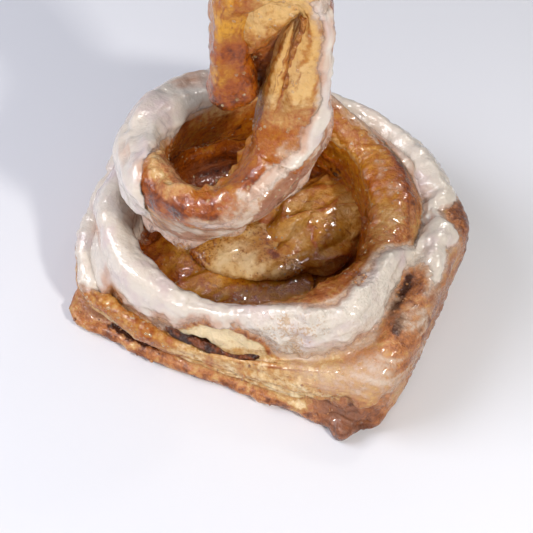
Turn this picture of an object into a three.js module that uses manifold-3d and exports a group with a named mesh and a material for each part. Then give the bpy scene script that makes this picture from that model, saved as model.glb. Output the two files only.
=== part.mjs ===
// A cinnamon roll whose inner coil is pulled up out of the middle. Millimetres, +Z up.
// The origin is under the middle of the roll, on the surface that it stands on.
// Angles are in degrees about the middle of the hollow, 0 towards +X, so -90 is the front.

import * as THREE from 'three';
import { mergeVertices } from 'three/addons/utils/BufferGeometryUtils.js';
import Module from 'manifold-3d';

// The pulled-apart roll, seen from above: nearly square in front, round at the back.
const ROLL_HALF_WIDTH = 58.5;
const ROLL_HALF_DEPTH = 49.8;
const RIGHT_CORNER_POWER = 7;
const LEFT_CORNER_POWER = 4.3;
const BACK_CORNER_POWER = 2.3;
const BASE_INSET = 4;

// The hollow that the coil came out of.
const HOLLOW_CENTRE = new THREE.Vector3(-6.5, -6.5, 0);
const HOLLOW_RADIUS = 38.5;
const HOLLOW_FLOOR = 7;

// Crests of the two windings that stay down.
const INNER_CREST = 42;
const OUTER_CREST = 37;
const SEAM_DEPTH = 2.2;

// The lifted coil: a strip on edge that turns once round, rises, bends over and hangs down.
const COIL_START = 35;
const COIL_END = 320;
const COIL_RADIUS = 31;
const COIL_HALF_THICKNESS = 6.5;
const COIL_HALF_HEIGHT = 13.5;
const SECTION_POWER = 0.72;
const RIBBON_HALF_WIDTH = 10;
const RIBBON_HALF_DEPTH = 7.5;
const RIBBON_FOOT = new THREE.Vector3(10.5, -16, 93);
const RIBBON_TOP = new THREE.Vector3(12, -7.5, 129);
const ARCH_RADIUS = 10.5;
const FLAP_LENGTH = 32;
const FLAP_LEAN = 4;
const RIBBON_GROOVE_PLACE = -4.2;
const RIBBON_GROOVE_DEPTH = 2.2;
const RIBBON_FRONT = new THREE.Vector3(0.48, -0.877, 0);

// Icing lies on the dough, filling lies between its windings, each this far from it.
const CLEARANCE = 0.35;
const ICING_THICKNESS = 1.6;
const ICING_ROOT = -1.2;
const FILLING_THICKNESS = 1.8;
const SLOT_CLEARANCE = 0.6;
const SLOT_RISE = 6;

// Facets.
const LAST_GUIDE = 16;
const RING_STEPS = 72;
const PROFILE_STEPS = 26;
const COIL_STEPS = 64;
const SECTION_STEPS = 16;
const SHEET_STEPS = 26;
const SHEET_END = 0.2;
const WELD_DISTANCE = 0.001;

const wasm = await Module();
wasm.setup();

const { clamp, degToRad, euclideanModulo, lerp, smoothstep } = THREE.MathUtils;

// A smooth hump of height 1 round an angle, zero past its half width.
function hump(angle, centre, halfWidth) {
  const turn = Math.abs(euclideanModulo(angle - centre + 180, 360) - 180);
  if (turn >= halfWidth) {
    return 0;
  }
  return 0.5 * (1 + Math.cos(Math.PI * turn / halfWidth));
}

// A slow waver between -1 and 1 that closes on itself after a full turn.
function waver(angle, seed) {
  const turn = degToRad(angle);
  return 0.45 * Math.sin(3 * turn + seed) + 0.35 * Math.sin(5 * turn + 2.3 * seed)
    + 0.2 * Math.sin(11 * turn + 4.1 * seed);
}

// A closed mesh from rows of points. Rows join in a ring, or end in two flat or pointed caps.
function meshFromRows(rows, { ring = false } = {}) {
  const across = rows[0].length;
  const positions = rows.flat().flatMap((point) => point.toArray());
  const faces = [];
  const lastRow = ring ? rows.length : rows.length - 1;
  for (let row = 0; row < lastRow; row += 1) {
    const next = (row + 1) % rows.length;
    for (let column = 0; column < across; column += 1) {
      const beside = (column + 1) % across;
      const a = row * across + column;
      const b = row * across + beside;
      const c = next * across + beside;
      const d = next * across + column;
      faces.push(a, b, c, a, c, d);
    }
  }
  if (!ring) {
    addCap(positions, faces, rows[0], 0, true);
    addCap(positions, faces, rows[rows.length - 1], (rows.length - 1) * across, false);
  }
  return geometryFrom(positions, faces);
}

function addCap(positions, faces, row, first, atStart) {
  const middle = row.reduce((sum, point) => sum.add(point), new THREE.Vector3());
  middle.divideScalar(row.length);
  const centre = positions.length / 3;
  positions.push(...middle.toArray());
  for (let column = 0; column < row.length; column += 1) {
    const a = first + column;
    const b = first + (column + 1) % row.length;
    faces.push(...(atStart ? [centre, b, a] : [centre, a, b]));
  }
}

function geometryFrom(positions, faces) {
  const geometry = new THREE.BufferGeometry();
  geometry.setAttribute('position', new THREE.Float32BufferAttribute(positions, 3));
  geometry.setIndex(faces);
  return geometry;
}

// ---- Joining and cutting ----

function toSolid(geometry) {
  const bare = geometry.clone();
  bare.deleteAttribute('normal');
  bare.deleteAttribute('uv');
  const merged = mergeVertices(bare, 1e-4);
  return new wasm.Manifold(new wasm.Mesh({
    numProp: 3,
    vertProperties: new Float32Array(merged.attributes.position.array),
    triVerts: new Uint32Array(merged.index.array),
  }));
}

// A solid's mesh. Corners that all but coincide are made one, and facets between them dropped.
function toGeometry(solid) {
  const { vertProperties, triVerts } = solid.getMesh();
  const welded = mergeVertices(geometryFrom(Array.from(vertProperties), Array.from(triVerts)), WELD_DISTANCE);
  const corners = welded.index.array;
  const faces = [];
  for (let first = 0; first < corners.length; first += 3) {
    const [a, b, c] = corners.slice(first, first + 3);
    if (a !== b && b !== c && c !== a) {
      faces.push(a, b, c);
    }
  }
  return geometryFrom(Array.from(welded.attributes.position.array), faces);
}

// ---- The roll that stays down, as a profile for each angle ----

function cornerPower(angle) {
  const back = 0.5 + 0.5 * Math.tanh(6 * Math.sin(degToRad(angle)));
  const left = 0.5 - 0.5 * Math.tanh(4 * Math.cos(degToRad(angle)));
  return lerp(lerp(RIGHT_CORNER_POWER, LEFT_CORNER_POWER, left), BACK_CORNER_POWER, back);
}

// Distance from the hollow's centre to the outline, found by halving.
function outlineRadius(angle) {
  const power = cornerPower(angle);
  let inside = 0;
  let outside = 2 * ROLL_HALF_WIDTH;
  for (let halving = 0; halving < 30; halving += 1) {
    const radius = 0.5 * (inside + outside);
    const x = Math.abs(HOLLOW_CENTRE.x + radius * Math.cos(degToRad(angle))) / ROLL_HALF_WIDTH;
    const y = Math.abs(HOLLOW_CENTRE.y + radius * Math.sin(degToRad(angle))) / ROLL_HALF_DEPTH;
    if (x ** power + y ** power < 1) {
      inside = radius;
    } else {
      outside = radius;
    }
  }
  return inside;
}

function hollowRadius(angle) {
  return HOLLOW_RADIUS - 5.5 * hump(angle, -88, 70) + 0.6 * waver(angle, 1);
}

function innerCrest(angle) {
  return INNER_CREST - 11 * hump(angle, -95, 80) - 5.5 * hump(angle, 175, 80) + 0.5 * waver(angle, 2);
}

function outerCrest(angle) {
  return OUTER_CREST - 22 * hump(angle, -90, 100) - 6 * hump(angle, -145, 50)
    - 6 * hump(angle, -175, 60) + 0.6 * waver(angle, 3);
}

// The seam between the two windings: how far in from the outline it comes out on top.
function seamInset(angle) {
  const share = 0.46 - 0.3 * hump(angle, -95, 60) - 0.12 * hump(angle, 100, 80);
  return share * (outlineRadius(angle) - hollowRadius(angle));
}

function seamHeight(angle) {
  return Math.min(outerCrest(angle), innerCrest(angle)) - SEAM_DEPTH;
}

// How far the lowest winding's cleft is cut into the front-left of the face.
function cleftDepth(angle) {
  return 2.4 * hump(angle, -118, 34);
}

// Radius and height of the profile's guides, from the edge of the base round to the floor.
function profileGuides(angle) {
  const outer = outlineRadius(angle);
  const inner = hollowRadius(angle);
  const seam = outer - seamInset(angle);
  const outerTop = outerCrest(angle);
  const innerTop = innerCrest(angle);
  const groove = seamHeight(angle);
  const foot = 1.5 * hump(angle, -92, 70) + 4.5 * hump(angle, -135, 16) + 2.5 * hump(angle, -38, 12);
  const cleft = cleftDepth(angle);
  const inset = BASE_INSET * (1 - hump(angle, -90, 75));
  return [
    [outer - inset - 0.5, 0],
    [outer - 0.5 * inset + foot, 3.5],
    [outer - 0.3 * inset - cleft, 7.5],
    [outer - 0.2 - 0.4 * cleft, lerp(7.5, outerTop - 4, 0.5)],
    [outer - 0.3, outerTop - 4],
    [lerp(outer, seam, 0.45), outerTop],
    [lerp(outer, seam, 0.95), groove],
    [lerp(seam, inner, 0.12), 0.5 * (groove + innerTop)],
    [lerp(seam, inner, 0.3), innerTop - 0.8],
    [lerp(seam, inner, 0.6), innerTop],
    [inner + 0.6, innerTop - 3],
    [inner + 1.2, innerTop - 9],
    [inner + 0.4, lerp(innerTop, HOLLOW_FLOOR, 0.62)],
    [inner - 3, HOLLOW_FLOOR + 4],
    [0.72 * inner, HOLLOW_FLOOR + 0.5],
    [0.4 * inner, HOLLOW_FLOOR],
    [0.02, HOLLOW_FLOOR],
  ];
}

// A point on the dough, a skin's thickness off it: guide counts along the profile's guides.
function profilePoint(curve, guide, skin) {
  const share = Math.min(1, guide / LAST_GUIDE);
  const point = curve.getPoint(share);
  const along = curve.getTangent(share);
  return [point.x + skin * along.y, Math.max(0, point.y) - skin * along.x];
}

function profileCurve(angle) {
  const guides = profileGuides(angle).map(([radius, height]) => new THREE.Vector3(radius, height, 0));
  return new THREE.CatmullRomCurve3(guides, false, 'centripetal');
}

function aboutHollow(angle, radius, height) {
  return new THREE.Vector3(
    HOLLOW_CENTRE.x + radius * Math.cos(degToRad(angle)),
    HOLLOW_CENTRE.y + radius * Math.sin(degToRad(angle)),
    height,
  );
}

function rollBody(skin = 0) {
  const rows = [Array.from({ length: RING_STEPS }, () => aboutHollow(0, 0, -skin))];
  const curves = ringAngles().map((angle) => [angle, profileCurve(angle)]);
  for (let step = 0; step <= PROFILE_STEPS; step += 1) {
    const guide = LAST_GUIDE * step / PROFILE_STEPS;
    rows.push(curves.map(([angle, curve]) => aboutHollow(angle, ...profilePoint(curve, guide, skin))));
  }
  return toSolid(meshFromRows(rows));
}

function ringAngles() {
  return Array.from({ length: RING_STEPS }, (unused, turn) => 360 * turn / RING_STEPS);
}

// The layers left on the floor of the hollow, which overlap like petals.
function floorLayer(x, y, z, halfSizes, tilt) {
  const geometry = new THREE.SphereGeometry(1, 20, 10);
  geometry.rotateX(Math.PI / 2);
  geometry.scale(...halfSizes);
  geometry.rotateX(degToRad(tilt));
  geometry.translate(HOLLOW_CENTRE.x + x, HOLLOW_CENTRE.y + y, z);
  return toSolid(geometry);
}

function floorLayers() {
  return [
    floorLayer(-3, -4, 7, [30, 25, 4.5], 3),
    floorLayer(1, 11, 8, [24, 22, 6.5], 6),
    floorLayer(14, 24, 14.5, [17, 15, 9.5], 12),
  ];
}

// ---- The lifted coil ----

const station = (point, crest, halfThickness, halfHeight) => ({ point, crest, halfThickness, halfHeight });

// Once round and up, from inside the roll's inner winding.
function turnStations() {
  const stations = [];
  const count = 14;
  for (let index = 0; index <= count; index += 1) {
    const angle = lerp(COIL_START, COIL_END, index / count);
    const radius = COIL_RADIUS + 14 * (1 - smoothstep(angle, 65, 150)) - 13 * smoothstep(angle, 255, 345);
    const height = 28 + 23 * smoothstep(angle, 50, 150) + 0.13 * Math.max(0, angle - 140)
      + 12 * smoothstep(angle, 265, 350);
    const lean = 0.22 * smoothstep(angle, 90, 140) + 0.5 * smoothstep(angle, 230, 350);
    const crest = new THREE.Vector3(0, 0, 1).lerp(RIBBON_FRONT, lean).normalize();
    const widening = smoothstep(angle, 275, 345);
    stations.push(station(
      aboutHollow(angle, radius, height),
      crest,
      lerp(COIL_HALF_THICKNESS, RIBBON_HALF_WIDTH, widening) + 1.8 * hump(angle, 135, 60),
      lerp(COIL_HALF_HEIGHT, RIBBON_HALF_DEPTH + 2, widening),
    ));
  }
  return stations;
}

// Straight up, over an arch to the left of its front, and down to the flap's round end.
function ribbonStations() {
  const stations = [];
  for (const share of [0, 0.35, 0.7]) {
    const point = RIBBON_FOOT.clone().lerp(RIBBON_TOP, share);
    stations.push(station(point, RIBBON_FRONT, lerp(RIBBON_HALF_WIDTH, 6, share), RIBBON_HALF_DEPTH));
  }
  const left = RIBBON_FRONT.clone().cross(new THREE.Vector3(0, 0, 1));
  const middle = RIBBON_TOP.clone().addScaledVector(left, ARCH_RADIUS);
  for (const turn of [0, 45, 90, 135, 180]) {
    const point = middle.clone()
      .addScaledVector(left, -ARCH_RADIUS * Math.cos(degToRad(turn)))
      .add(new THREE.Vector3(0, 0, ARCH_RADIUS * Math.sin(degToRad(turn))));
    stations.push(station(point, RIBBON_FRONT, 5.2, RIBBON_HALF_DEPTH));
  }
  const flapTop = middle.clone().addScaledVector(left, ARCH_RADIUS);
  for (const share of [0.4, 0.75, 1]) {
    const point = flapTop.clone()
      .addScaledVector(RIBBON_FRONT, share * FLAP_LEAN)
      .add(new THREE.Vector3(0, 0, -share * FLAP_LENGTH));
    stations.push(station(point, RIBBON_FRONT, lerp(5, 7, share), lerp(RIBBON_HALF_DEPTH, 6.5, share)));
  }
  return stations;
}

// The back wall of the small hollow between ribbon and flap.
function ribbonWeb() {
  const geometry = new THREE.SphereGeometry(1, 16, 12);
  geometry.scale(9.5, 4.5, 22);
  geometry.rotateZ(Math.atan2(RIBBON_FRONT.x, -RIBBON_FRONT.y));
  const left = RIBBON_FRONT.clone().cross(new THREE.Vector3(0, 0, 1));
  const middle = RIBBON_TOP.clone()
    .addScaledVector(left, ARCH_RADIUS)
    .addScaledVector(RIBBON_FRONT, -2.5);
  geometry.translate(middle.x, middle.y, 116);
  return toSolid(geometry);
}

// Place, travel, crest direction and sizes at any share of the coil's length.
function coilFrames(shares) {
  const stations = [...turnStations(), ...ribbonStations()];
  const curveOf = (vectors) => new THREE.CatmullRomCurve3(vectors, false, 'catmullrom', 0.5);
  const places = curveOf(stations.map(({ point }) => point));
  const crests = curveOf(stations.map(({ crest }) => crest));
  const sizes = curveOf(stations.map(({ halfThickness, halfHeight }) => (
    new THREE.Vector3(halfThickness, halfHeight, 0))));
  return shares.map((share) => {
    const travel = places.getTangent(share);
    const outward = travel.clone().cross(crests.getPoint(share)).normalize();
    const crest = outward.clone().cross(travel);
    const size = sizes.getPoint(share);
    return { share, point: places.getPoint(share), outward, crest, halfThickness: size.x, halfHeight: size.y };
  });
}

// The ribbon shows two layers side by side, with a groove between them.
function ribbonGroove(share, across) {
  const along = smoothstep(share, 0.58, 0.65) * (1 - smoothstep(share, 0.73, 0.78));
  return RIBBON_GROOVE_DEPTH * along * Math.exp(-(((across - RIBBON_GROOVE_PLACE) / 1.8) ** 2));
}

// A point on the coil, a skin's thickness off it: turn is 0 at the outer face and 90 on the crest.
function coilPoint(frame, turn, skin) {
  const roundEnd = Math.sqrt(Math.max(0.02, 1 - smoothstep(frame.share, 0.955, 1) ** 2));
  const across = Math.cos(degToRad(turn));
  const up = Math.sin(degToRad(turn));
  const x = Math.sign(across) * Math.abs(across) ** SECTION_POWER * (frame.halfThickness * roundEnd + skin);
  let y = Math.sign(up) * Math.abs(up) ** SECTION_POWER * (frame.halfHeight * roundEnd + skin);
  if (up > 0) {
    y -= ribbonGroove(frame.share, x);
  }
  return frame.point.clone().addScaledVector(frame.outward, x).addScaledVector(frame.crest, y);
}

function coilSection(frame, skin) {
  return Array.from({ length: SECTION_STEPS }, (unused, side) => (
    coilPoint(frame, -360 * side / SECTION_STEPS, skin)));
}

function liftedCoil(skin = 0) {
  const shares = Array.from({ length: COIL_STEPS + 1 }, (unused, step) => step / COIL_STEPS);
  const rows = coilFrames(shares).map((frame) => coilSection(frame, skin));
  return toSolid(meshFromRows(rows));
}

// ---- Cinnamon filling, as thin upright sheets between the windings ----

// A sheet along the roll. Its top and bottom edges are given as radius and height at an angle.
function seamSheet(from, to, topEdge, bottomEdge, grown, rise) {
  const half = 0.5 * FILLING_THICKNESS + grown;
  const rows = [];
  for (let step = -1; step <= SHEET_STEPS + 1; step += 1) {
    const share = clamp(step / SHEET_STEPS, 0, 1);
    const pastEnd = step - share * SHEET_STEPS;
    const angle = lerp(from, to, share) + (grown + SHEET_END) * pastEnd;
    const top = new THREE.Vector2(...topEdge(angle));
    const bottom = new THREE.Vector2(...bottomEdge(angle));
    const up = top.clone().sub(bottom).normalize();
    const side = new THREE.Vector2(up.y, -up.x).multiplyScalar(half);
    top.addScaledVector(up, grown + rise);
    bottom.addScaledVector(up, -grown);
    const corners = [bottom.clone().sub(side), bottom.clone().add(side), top.clone().add(side), top.clone().sub(side)];
    rows.push(corners.map(({ x, y }) => aboutHollow(angle, x, y)));
  }
  return toSolid(meshFromRows(rows.reverse()));
}

// Between the two windings, from the left corner along the front to the right side.
function innerFilling(grown = 0, rise = 0) {
  const topEdge = (angle) => [outlineRadius(angle) - seamInset(angle), seamHeight(angle) + 0.6];
  const bottomEdge = (angle) => [
    outlineRadius(angle) - seamInset(angle) - 7 * hump(angle, -95, 90),
    9.5,
  ];
  return seamSheet(-150, 24, topEdge, bottomEdge, grown, rise);
}

// Under the lowest winding, in the cleft at the front's left.
function outerFilling(grown = 0, rise = 0) {
  const topEdge = (angle) => [outlineRadius(angle) - cleftDepth(angle) + 0.4, 7.4];
  const bottomEdge = (angle) => [outlineRadius(angle) - 7.5, 3.6];
  return seamSheet(-132, -103, topEdge, bottomEdge, grown, rise);
}

// Between the two layers of the ribbon.
function ribbonFilling(grown = 0, rise = 0) {
  const half = 0.35 * FILLING_THICKNESS + grown;
  const shares = Array.from({ length: 13 }, (unused, step) => lerp(0.64, 0.735, step / 12));
  const rows = coilFrames(shares).map(({ share, point, outward, crest, halfHeight }) => {
    const top = halfHeight - ribbonGroove(share, RIBBON_GROOVE_PLACE) + 0.4 + grown + rise;
    const bottom = halfHeight - 6 - grown;
    const corner = (x, y) => point.clone()
      .addScaledVector(outward, RIBBON_GROOVE_PLACE + x)
      .addScaledVector(crest, y);
    return [corner(-half, bottom), corner(-half, top), corner(half, top), corner(half, bottom)];
  });
  return toSolid(meshFromRows(rows));
}

// ---- Icing, as a skin on the dough ----

// How far the icing's surface is off the dough at a place that lies so far inside the icing's edge.
function icingSkin(insideEdge, taper) {
  return lerp(ICING_ROOT, CLEARANCE + ICING_THICKNESS, smoothstep(insideEdge, -0.5 * taper, 0.5 * taper));
}

// Where the ring of icing ends on its outer and inner side, counted along the profile's guides.
function icingEdges(angle) {
  const bareFront = hump(angle, -96, 52) ** 0.5;
  const bareInside = smoothstep(hump(angle, 32, 75), 0, 0.6);
  return [
    4 + 3 * bareFront + 0.25 * waver(angle, 5),
    9.6 - 2.9 * bareInside + 0.15 * waver(angle, 6),
  ];
}

function rollIcing() {
  const firstStep = Math.floor(PROFILE_STEPS * 3 / LAST_GUIDE);
  const lastStep = Math.ceil(PROFILE_STEPS * 10.4 / LAST_GUIDE);
  const rows = ringAngles().map((angle) => {
    const [outside, inside] = icingEdges(angle);
    const curve = profileCurve(angle);
    const top = [];
    const root = [];
    for (let step = firstStep; step <= lastStep; step += 1) {
      const guide = clamp(LAST_GUIDE * step / PROFILE_STEPS, outside - 0.7, inside + 0.7);
      const skin = icingSkin(Math.min(guide - outside, inside - guide), 1.2);
      top.push(aboutHollow(angle, ...profilePoint(curve, guide, skin)));
      root.push(aboutHollow(angle, ...profilePoint(curve, guide, 2 * ICING_ROOT)));
    }
    return [...root, ...top.reverse()];
  });
  return toSolid(meshFromRows(rows, { ring: true }));
}

// On the coil the icing lies on the crest, then slides to the outer face and up the ribbon's edge.
function coilIcing() {
  const shares = [];
  for (let step = Math.round(0.17 * COIL_STEPS); step <= Math.round(0.74 * COIL_STEPS); step += 1) {
    shares.push(step / COIL_STEPS);
  }
  const turnStep = 360 / SECTION_STEPS;
  const rows = coilFrames(shares).map((frame) => {
    const first = lerp(10, -40, smoothstep(frame.share, 0.25, 0.45));
    const last = lerp(128, 45, smoothstep(frame.share, 0.36, 0.5));
    const insideEnds = 400 * Math.min(frame.share - 0.2, 0.71 - frame.share);
    const top = [];
    const root = [];
    for (let turn = -3 * turnStep; turn <= 7 * turnStep; turn += turnStep) {
      const skin = icingSkin(Math.min(turn - first, last - turn, insideEnds), turnStep);
      top.push(coilPoint(frame, turn, skin));
      root.push(coilPoint(frame, turn, 2 * ICING_ROOT));
    }
    return [...root, ...top.reverse()];
  });
  return toSolid(meshFromRows(rows));
}

// ---- The parts ----

function solidMesh(name, solid, colour, roughness) {
  const material = new THREE.MeshStandardMaterial({ color: colour, roughness, metalness: 0 });
  const mesh = new THREE.Mesh(toGeometry(solid), material);
  mesh.name = name;
  return mesh;
}

const joined = (solids) => solids.reduce((sum, solid) => sum.add(solid));
const cutBy = (solid, tools) => tools.reduce((rest, tool) => rest.subtract(tool), solid);

// The icing without the crumbs of it that cutting leaves.
function largestBody(solid) {
  return solid.decompose().reduce((best, body) => (body.volume() > best.volume() ? body : best));
}

const dough = cutBy(
  joined([rollBody(), ...floorLayers(), liftedCoil(), ribbonWeb()]),
  [
    innerFilling(SLOT_CLEARANCE, SLOT_RISE),
    outerFilling(SLOT_CLEARANCE, SLOT_RISE),
    ribbonFilling(SLOT_CLEARANCE, SLOT_RISE),
  ],
);
const kept = joined([rollBody(CLEARANCE), liftedCoil(CLEARANCE)]);
const icingTools = [kept, innerFilling(CLEARANCE)];

const roll = new THREE.Group();
roll.add(
  solidMesh('dough', dough, 0xc98f4e, 0.55),
  solidMesh('filling_inner', innerFilling(), 0x4a2010, 0.3),
  solidMesh('filling_outer', outerFilling(), 0x4a2010, 0.3),
  solidMesh('filling_coil', ribbonFilling(), 0x9a4a14, 0.4),
  solidMesh('icing_roll', largestBody(cutBy(rollIcing(), icingTools)), 0xefe6dc, 0.25),
  solidMesh('icing_coil', largestBody(cutBy(coilIcing(), icingTools)), 0xefe6dc, 0.25),
);

export default roll;
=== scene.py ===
import math
import bpy
import numpy as np
from mathutils import Matrix, Vector


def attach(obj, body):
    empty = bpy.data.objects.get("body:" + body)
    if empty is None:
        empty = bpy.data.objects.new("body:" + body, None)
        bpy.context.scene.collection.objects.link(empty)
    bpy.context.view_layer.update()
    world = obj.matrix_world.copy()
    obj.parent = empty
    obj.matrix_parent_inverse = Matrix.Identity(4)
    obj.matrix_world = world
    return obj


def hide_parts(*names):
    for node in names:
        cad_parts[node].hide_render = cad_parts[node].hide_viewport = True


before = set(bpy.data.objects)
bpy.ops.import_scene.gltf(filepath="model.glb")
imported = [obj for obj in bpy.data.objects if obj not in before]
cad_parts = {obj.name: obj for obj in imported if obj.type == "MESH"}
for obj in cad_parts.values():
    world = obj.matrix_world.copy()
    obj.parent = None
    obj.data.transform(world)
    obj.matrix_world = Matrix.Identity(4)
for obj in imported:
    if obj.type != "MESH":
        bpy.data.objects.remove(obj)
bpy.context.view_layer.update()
millimetre = 0.001

# Shapes are in millimetres and degrees, with the same named sizes as the part's.
rollShape = {
    "halfWidth": 58.5,
    "halfDepth": 49.8,
    "rightCornerPower": 7,
    "leftCornerPower": 4.3,
    "backCornerPower": 2.3,
    "baseInset": 4,
    "hollowCentre": (-6.5, -6.5, 0),
    "hollowRadius": 38.5,
    "hollowFloor": 7,
    "innerCrest": 42,
    "outerCrest": 37,
    "seamDepth": 2.2,
}

coilShape = {
    "start": 35,
    "end": 320,
    "turnSteps": 14,
    "radius": 31,
    "halfThickness": 6.5,
    "halfHeight": 13.5,
    "sectionPower": 0.72,
    "ribbonHalfWidth": 10,
    "ribbonHalfDepth": 7.5,
    "ribbonFoot": (10.5, -16, 93),
    "ribbonTop": (12, -7.5, 129),
    "archRadius": 10.5,
    "flapLength": 32,
    "flapLean": 4,
    "groovePlace": -4.2,
    "grooveDepth": 2.2,
    "front": (0.48, -0.877, 0),
}


def hump(angle, centre, halfWidth):     # a smooth hump of height 1 round an angle
    turn = np.abs((angle - centre + 180) % 360 - 180)
    return np.where(turn < halfWidth, 0.5 + 0.5 * np.cos(np.pi * np.minimum(turn / halfWidth, 1)), 0.0)


def ease(value, low, high):
    share = np.clip((value - low) / (high - low), 0, 1)
    return share * share * (3 - 2 * share)


def between(value, low, high, soft):    # 1 from low to high, with soft ends
    return ease(value, low - soft, low + soft) * (1 - ease(value, high - soft, high + soft))


def blend(low, high, share):
    return low + (high - low) * share


def layered(value, coats):      # each coat is a new value and where it covers the one below
    for coat, mask in coats:
        value = blend(value, coat, mask)
    return value


def ridge(distance, width):
    return np.exp(-(distance / width) ** 2)


def waver(angle, seed):
    turn = np.radians(angle)
    return (0.45 * np.sin(3 * turn + seed) + 0.35 * np.sin(5 * turn + 2.3 * seed)
            + 0.2 * np.sin(11 * turn + 4.1 * seed))


noiseTable = np.random.default_rng(11).uniform(-1, 1, 8192)     # all surface noise is made from this


def latticeValue(x, y, z):
    mixed = (x * 73856093) ^ (y * 19349663) ^ (z * 83492791)
    return noiseTable[mixed & len(noiseTable) - 1]


def softNoise(points, size, seed):      # one octave, about -1 to 1
    scaled = points / size + 31.7 * seed
    cell = np.floor(scaled).astype(np.int64)
    part = scaled - cell
    part = part ** 3 * (part * (part * 6 - 15) + 10)
    total = 0
    for corner in range(8):
        step = np.array([corner & 1, corner >> 1 & 1, corner >> 2 & 1])
        weight = np.prod(np.where(step, part, 1 - part), axis=-1)
        total = total + weight * latticeValue(*np.moveaxis(cell + step, -1, 0))
    return total


octaveTurn = np.array(Matrix.Rotation(1.1, 3, Vector((0.4, 0.7, 0.6))))


def noise(points, size, octaves=3, seed=0):
    total = 0
    strength = 1
    for octave in range(octaves):
        total = total + strength * softNoise(points, size, seed + octave)
        points = points @ octaveTurn
        size = 0.5 * size
        strength = 0.55 * strength
    return total


def laidNoise(along, across, octaves, seed):        # noise laid along a surface's own lines
    return noise(np.stack([along, across, 0 * along], axis=-1), 1, octaves, seed)


def outlineRadius(angle):
    turn = np.radians(angle)
    back = 0.5 + 0.5 * np.tanh(6 * np.sin(turn))
    left = 0.5 - 0.5 * np.tanh(4 * np.cos(turn))
    front = blend(rollShape["rightCornerPower"], rollShape["leftCornerPower"], left)
    power = blend(front, rollShape["backCornerPower"], back)
    inside = np.zeros_like(turn)
    outside = np.full_like(turn, 2 * rollShape["halfWidth"])
    for halving in range(30):
        radius = 0.5 * (inside + outside)
        x = np.abs(rollShape["hollowCentre"][0] + radius * np.cos(turn)) / rollShape["halfWidth"]
        y = np.abs(rollShape["hollowCentre"][1] + radius * np.sin(turn)) / rollShape["halfDepth"]
        within = x ** power + y ** power < 1
        inside = np.where(within, radius, inside)
        outside = np.where(within, outside, radius)
    return inside


def hollowRadius(angle):
    return rollShape["hollowRadius"] - 5.5 * hump(angle, -88, 70) + 0.6 * waver(angle, 1)


def innerCrest(angle):
    return (rollShape["innerCrest"] - 11 * hump(angle, -95, 80) - 5.5 * hump(angle, 175, 80)
            + 0.5 * waver(angle, 2))


def outerCrest(angle):
    return (rollShape["outerCrest"] - 22 * hump(angle, -90, 100) - 6 * hump(angle, -145, 50)
            - 6 * hump(angle, -175, 60) + 0.6 * waver(angle, 3))


def seamInset(angle):
    share = 0.46 - 0.3 * hump(angle, -95, 60) - 0.12 * hump(angle, 100, 80)
    return share * (outlineRadius(angle) - hollowRadius(angle))


def seamHeight(angle):
    return np.minimum(outerCrest(angle), innerCrest(angle)) - rollShape["seamDepth"]


def cleftDepth(angle):
    return 2.4 * hump(angle, -118, 34)


def profileGuides(angle):       # radius and height from the base's edge round to the hollow's floor
    floor = rollShape["hollowFloor"]
    outer = outlineRadius(angle)
    inner = hollowRadius(angle)
    seam = outer - seamInset(angle)
    outerTop = outerCrest(angle)
    innerTop = innerCrest(angle)
    groove = seamHeight(angle)
    foot = 1.5 * hump(angle, -92, 70) + 4.5 * hump(angle, -135, 16) + 2.5 * hump(angle, -38, 12)
    cleft = cleftDepth(angle)
    inset = rollShape["baseInset"] * (1 - hump(angle, -90, 75))
    flat = np.zeros_like(outer)
    guides = [
        (outer - inset - 0.5, flat),
        (outer - 0.5 * inset + foot, flat + 3.5),
        (outer - 0.3 * inset - cleft, flat + 7.5),
        (outer - 0.2 - 0.4 * cleft, blend(7.5, outerTop - 4, 0.5)),
        (outer - 0.3, outerTop - 4),
        (blend(outer, seam, 0.45), outerTop),
        (blend(outer, seam, 0.95), groove),
        (blend(seam, inner, 0.12), 0.5 * (groove + innerTop)),
        (blend(seam, inner, 0.3), innerTop - 0.8),
        (blend(seam, inner, 0.6), innerTop),
        (inner + 0.6, innerTop - 3),
        (inner + 1.2, innerTop - 9),
        (inner + 0.4, blend(innerTop, floor, 0.62)),
        (inner - 3, flat + floor + 4),
        (0.72 * inner, flat + floor + 0.5),
        (0.4 * inner, flat + floor),
        (0.02 + flat, flat + floor),
    ]
    return np.stack([np.stack(pair, axis=-1) for pair in guides], axis=1)


def splinePoints(knots, places, even):      # places are counted along the knots, row by row
    first = 2 * knots[:, :1] - knots[:, 1:2]
    last = 2 * knots[:, -1:] - knots[:, -2:-1]
    padded = np.concatenate([first, knots, last], axis=1)
    start = np.minimum(np.floor(places).astype(int), knots.shape[1] - 2)
    share = (places - start)[..., None]
    row = np.arange(len(knots))[:, None]
    a, b, c, d = (padded[row, start + step] for step in range(4))
    if even:
        into = 0.5 * (c - a)
        out = 0.5 * (d - b)
    else:
        before, inner, after = (rootGap(*pair) for pair in ((a, b), (b, c), (c, d)))
        into = ((b - a) / before - (c - a) / (before + inner) + (c - b) / inner) * inner
        out = ((c - b) / inner - (d - b) / (inner + after) + (d - c) / after) * inner
    return (b + into * share + (3 * (c - b) - 2 * into - out) * share ** 2
            + (2 * (b - c) + into + out) * share ** 3)


def rootGap(start, end):
    return np.maximum(np.sum((end - start) ** 2, axis=-1, keepdims=True), 1e-16) ** 0.25


def aboutHollow(angle, radius, height):
    turn = np.radians(angle)
    centre = rollShape["hollowCentre"]
    return np.stack([centre[0] + radius * np.cos(turn), centre[1] + radius * np.sin(turn),
                     height + 0 * turn], axis=-1)


def rollSurface(angles, guides):
    flat = splinePoints(profileGuides(angles), guides, even=False)
    return aboutHollow(angles[:, None], flat[..., 0], np.maximum(flat[..., 1], 0))


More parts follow.
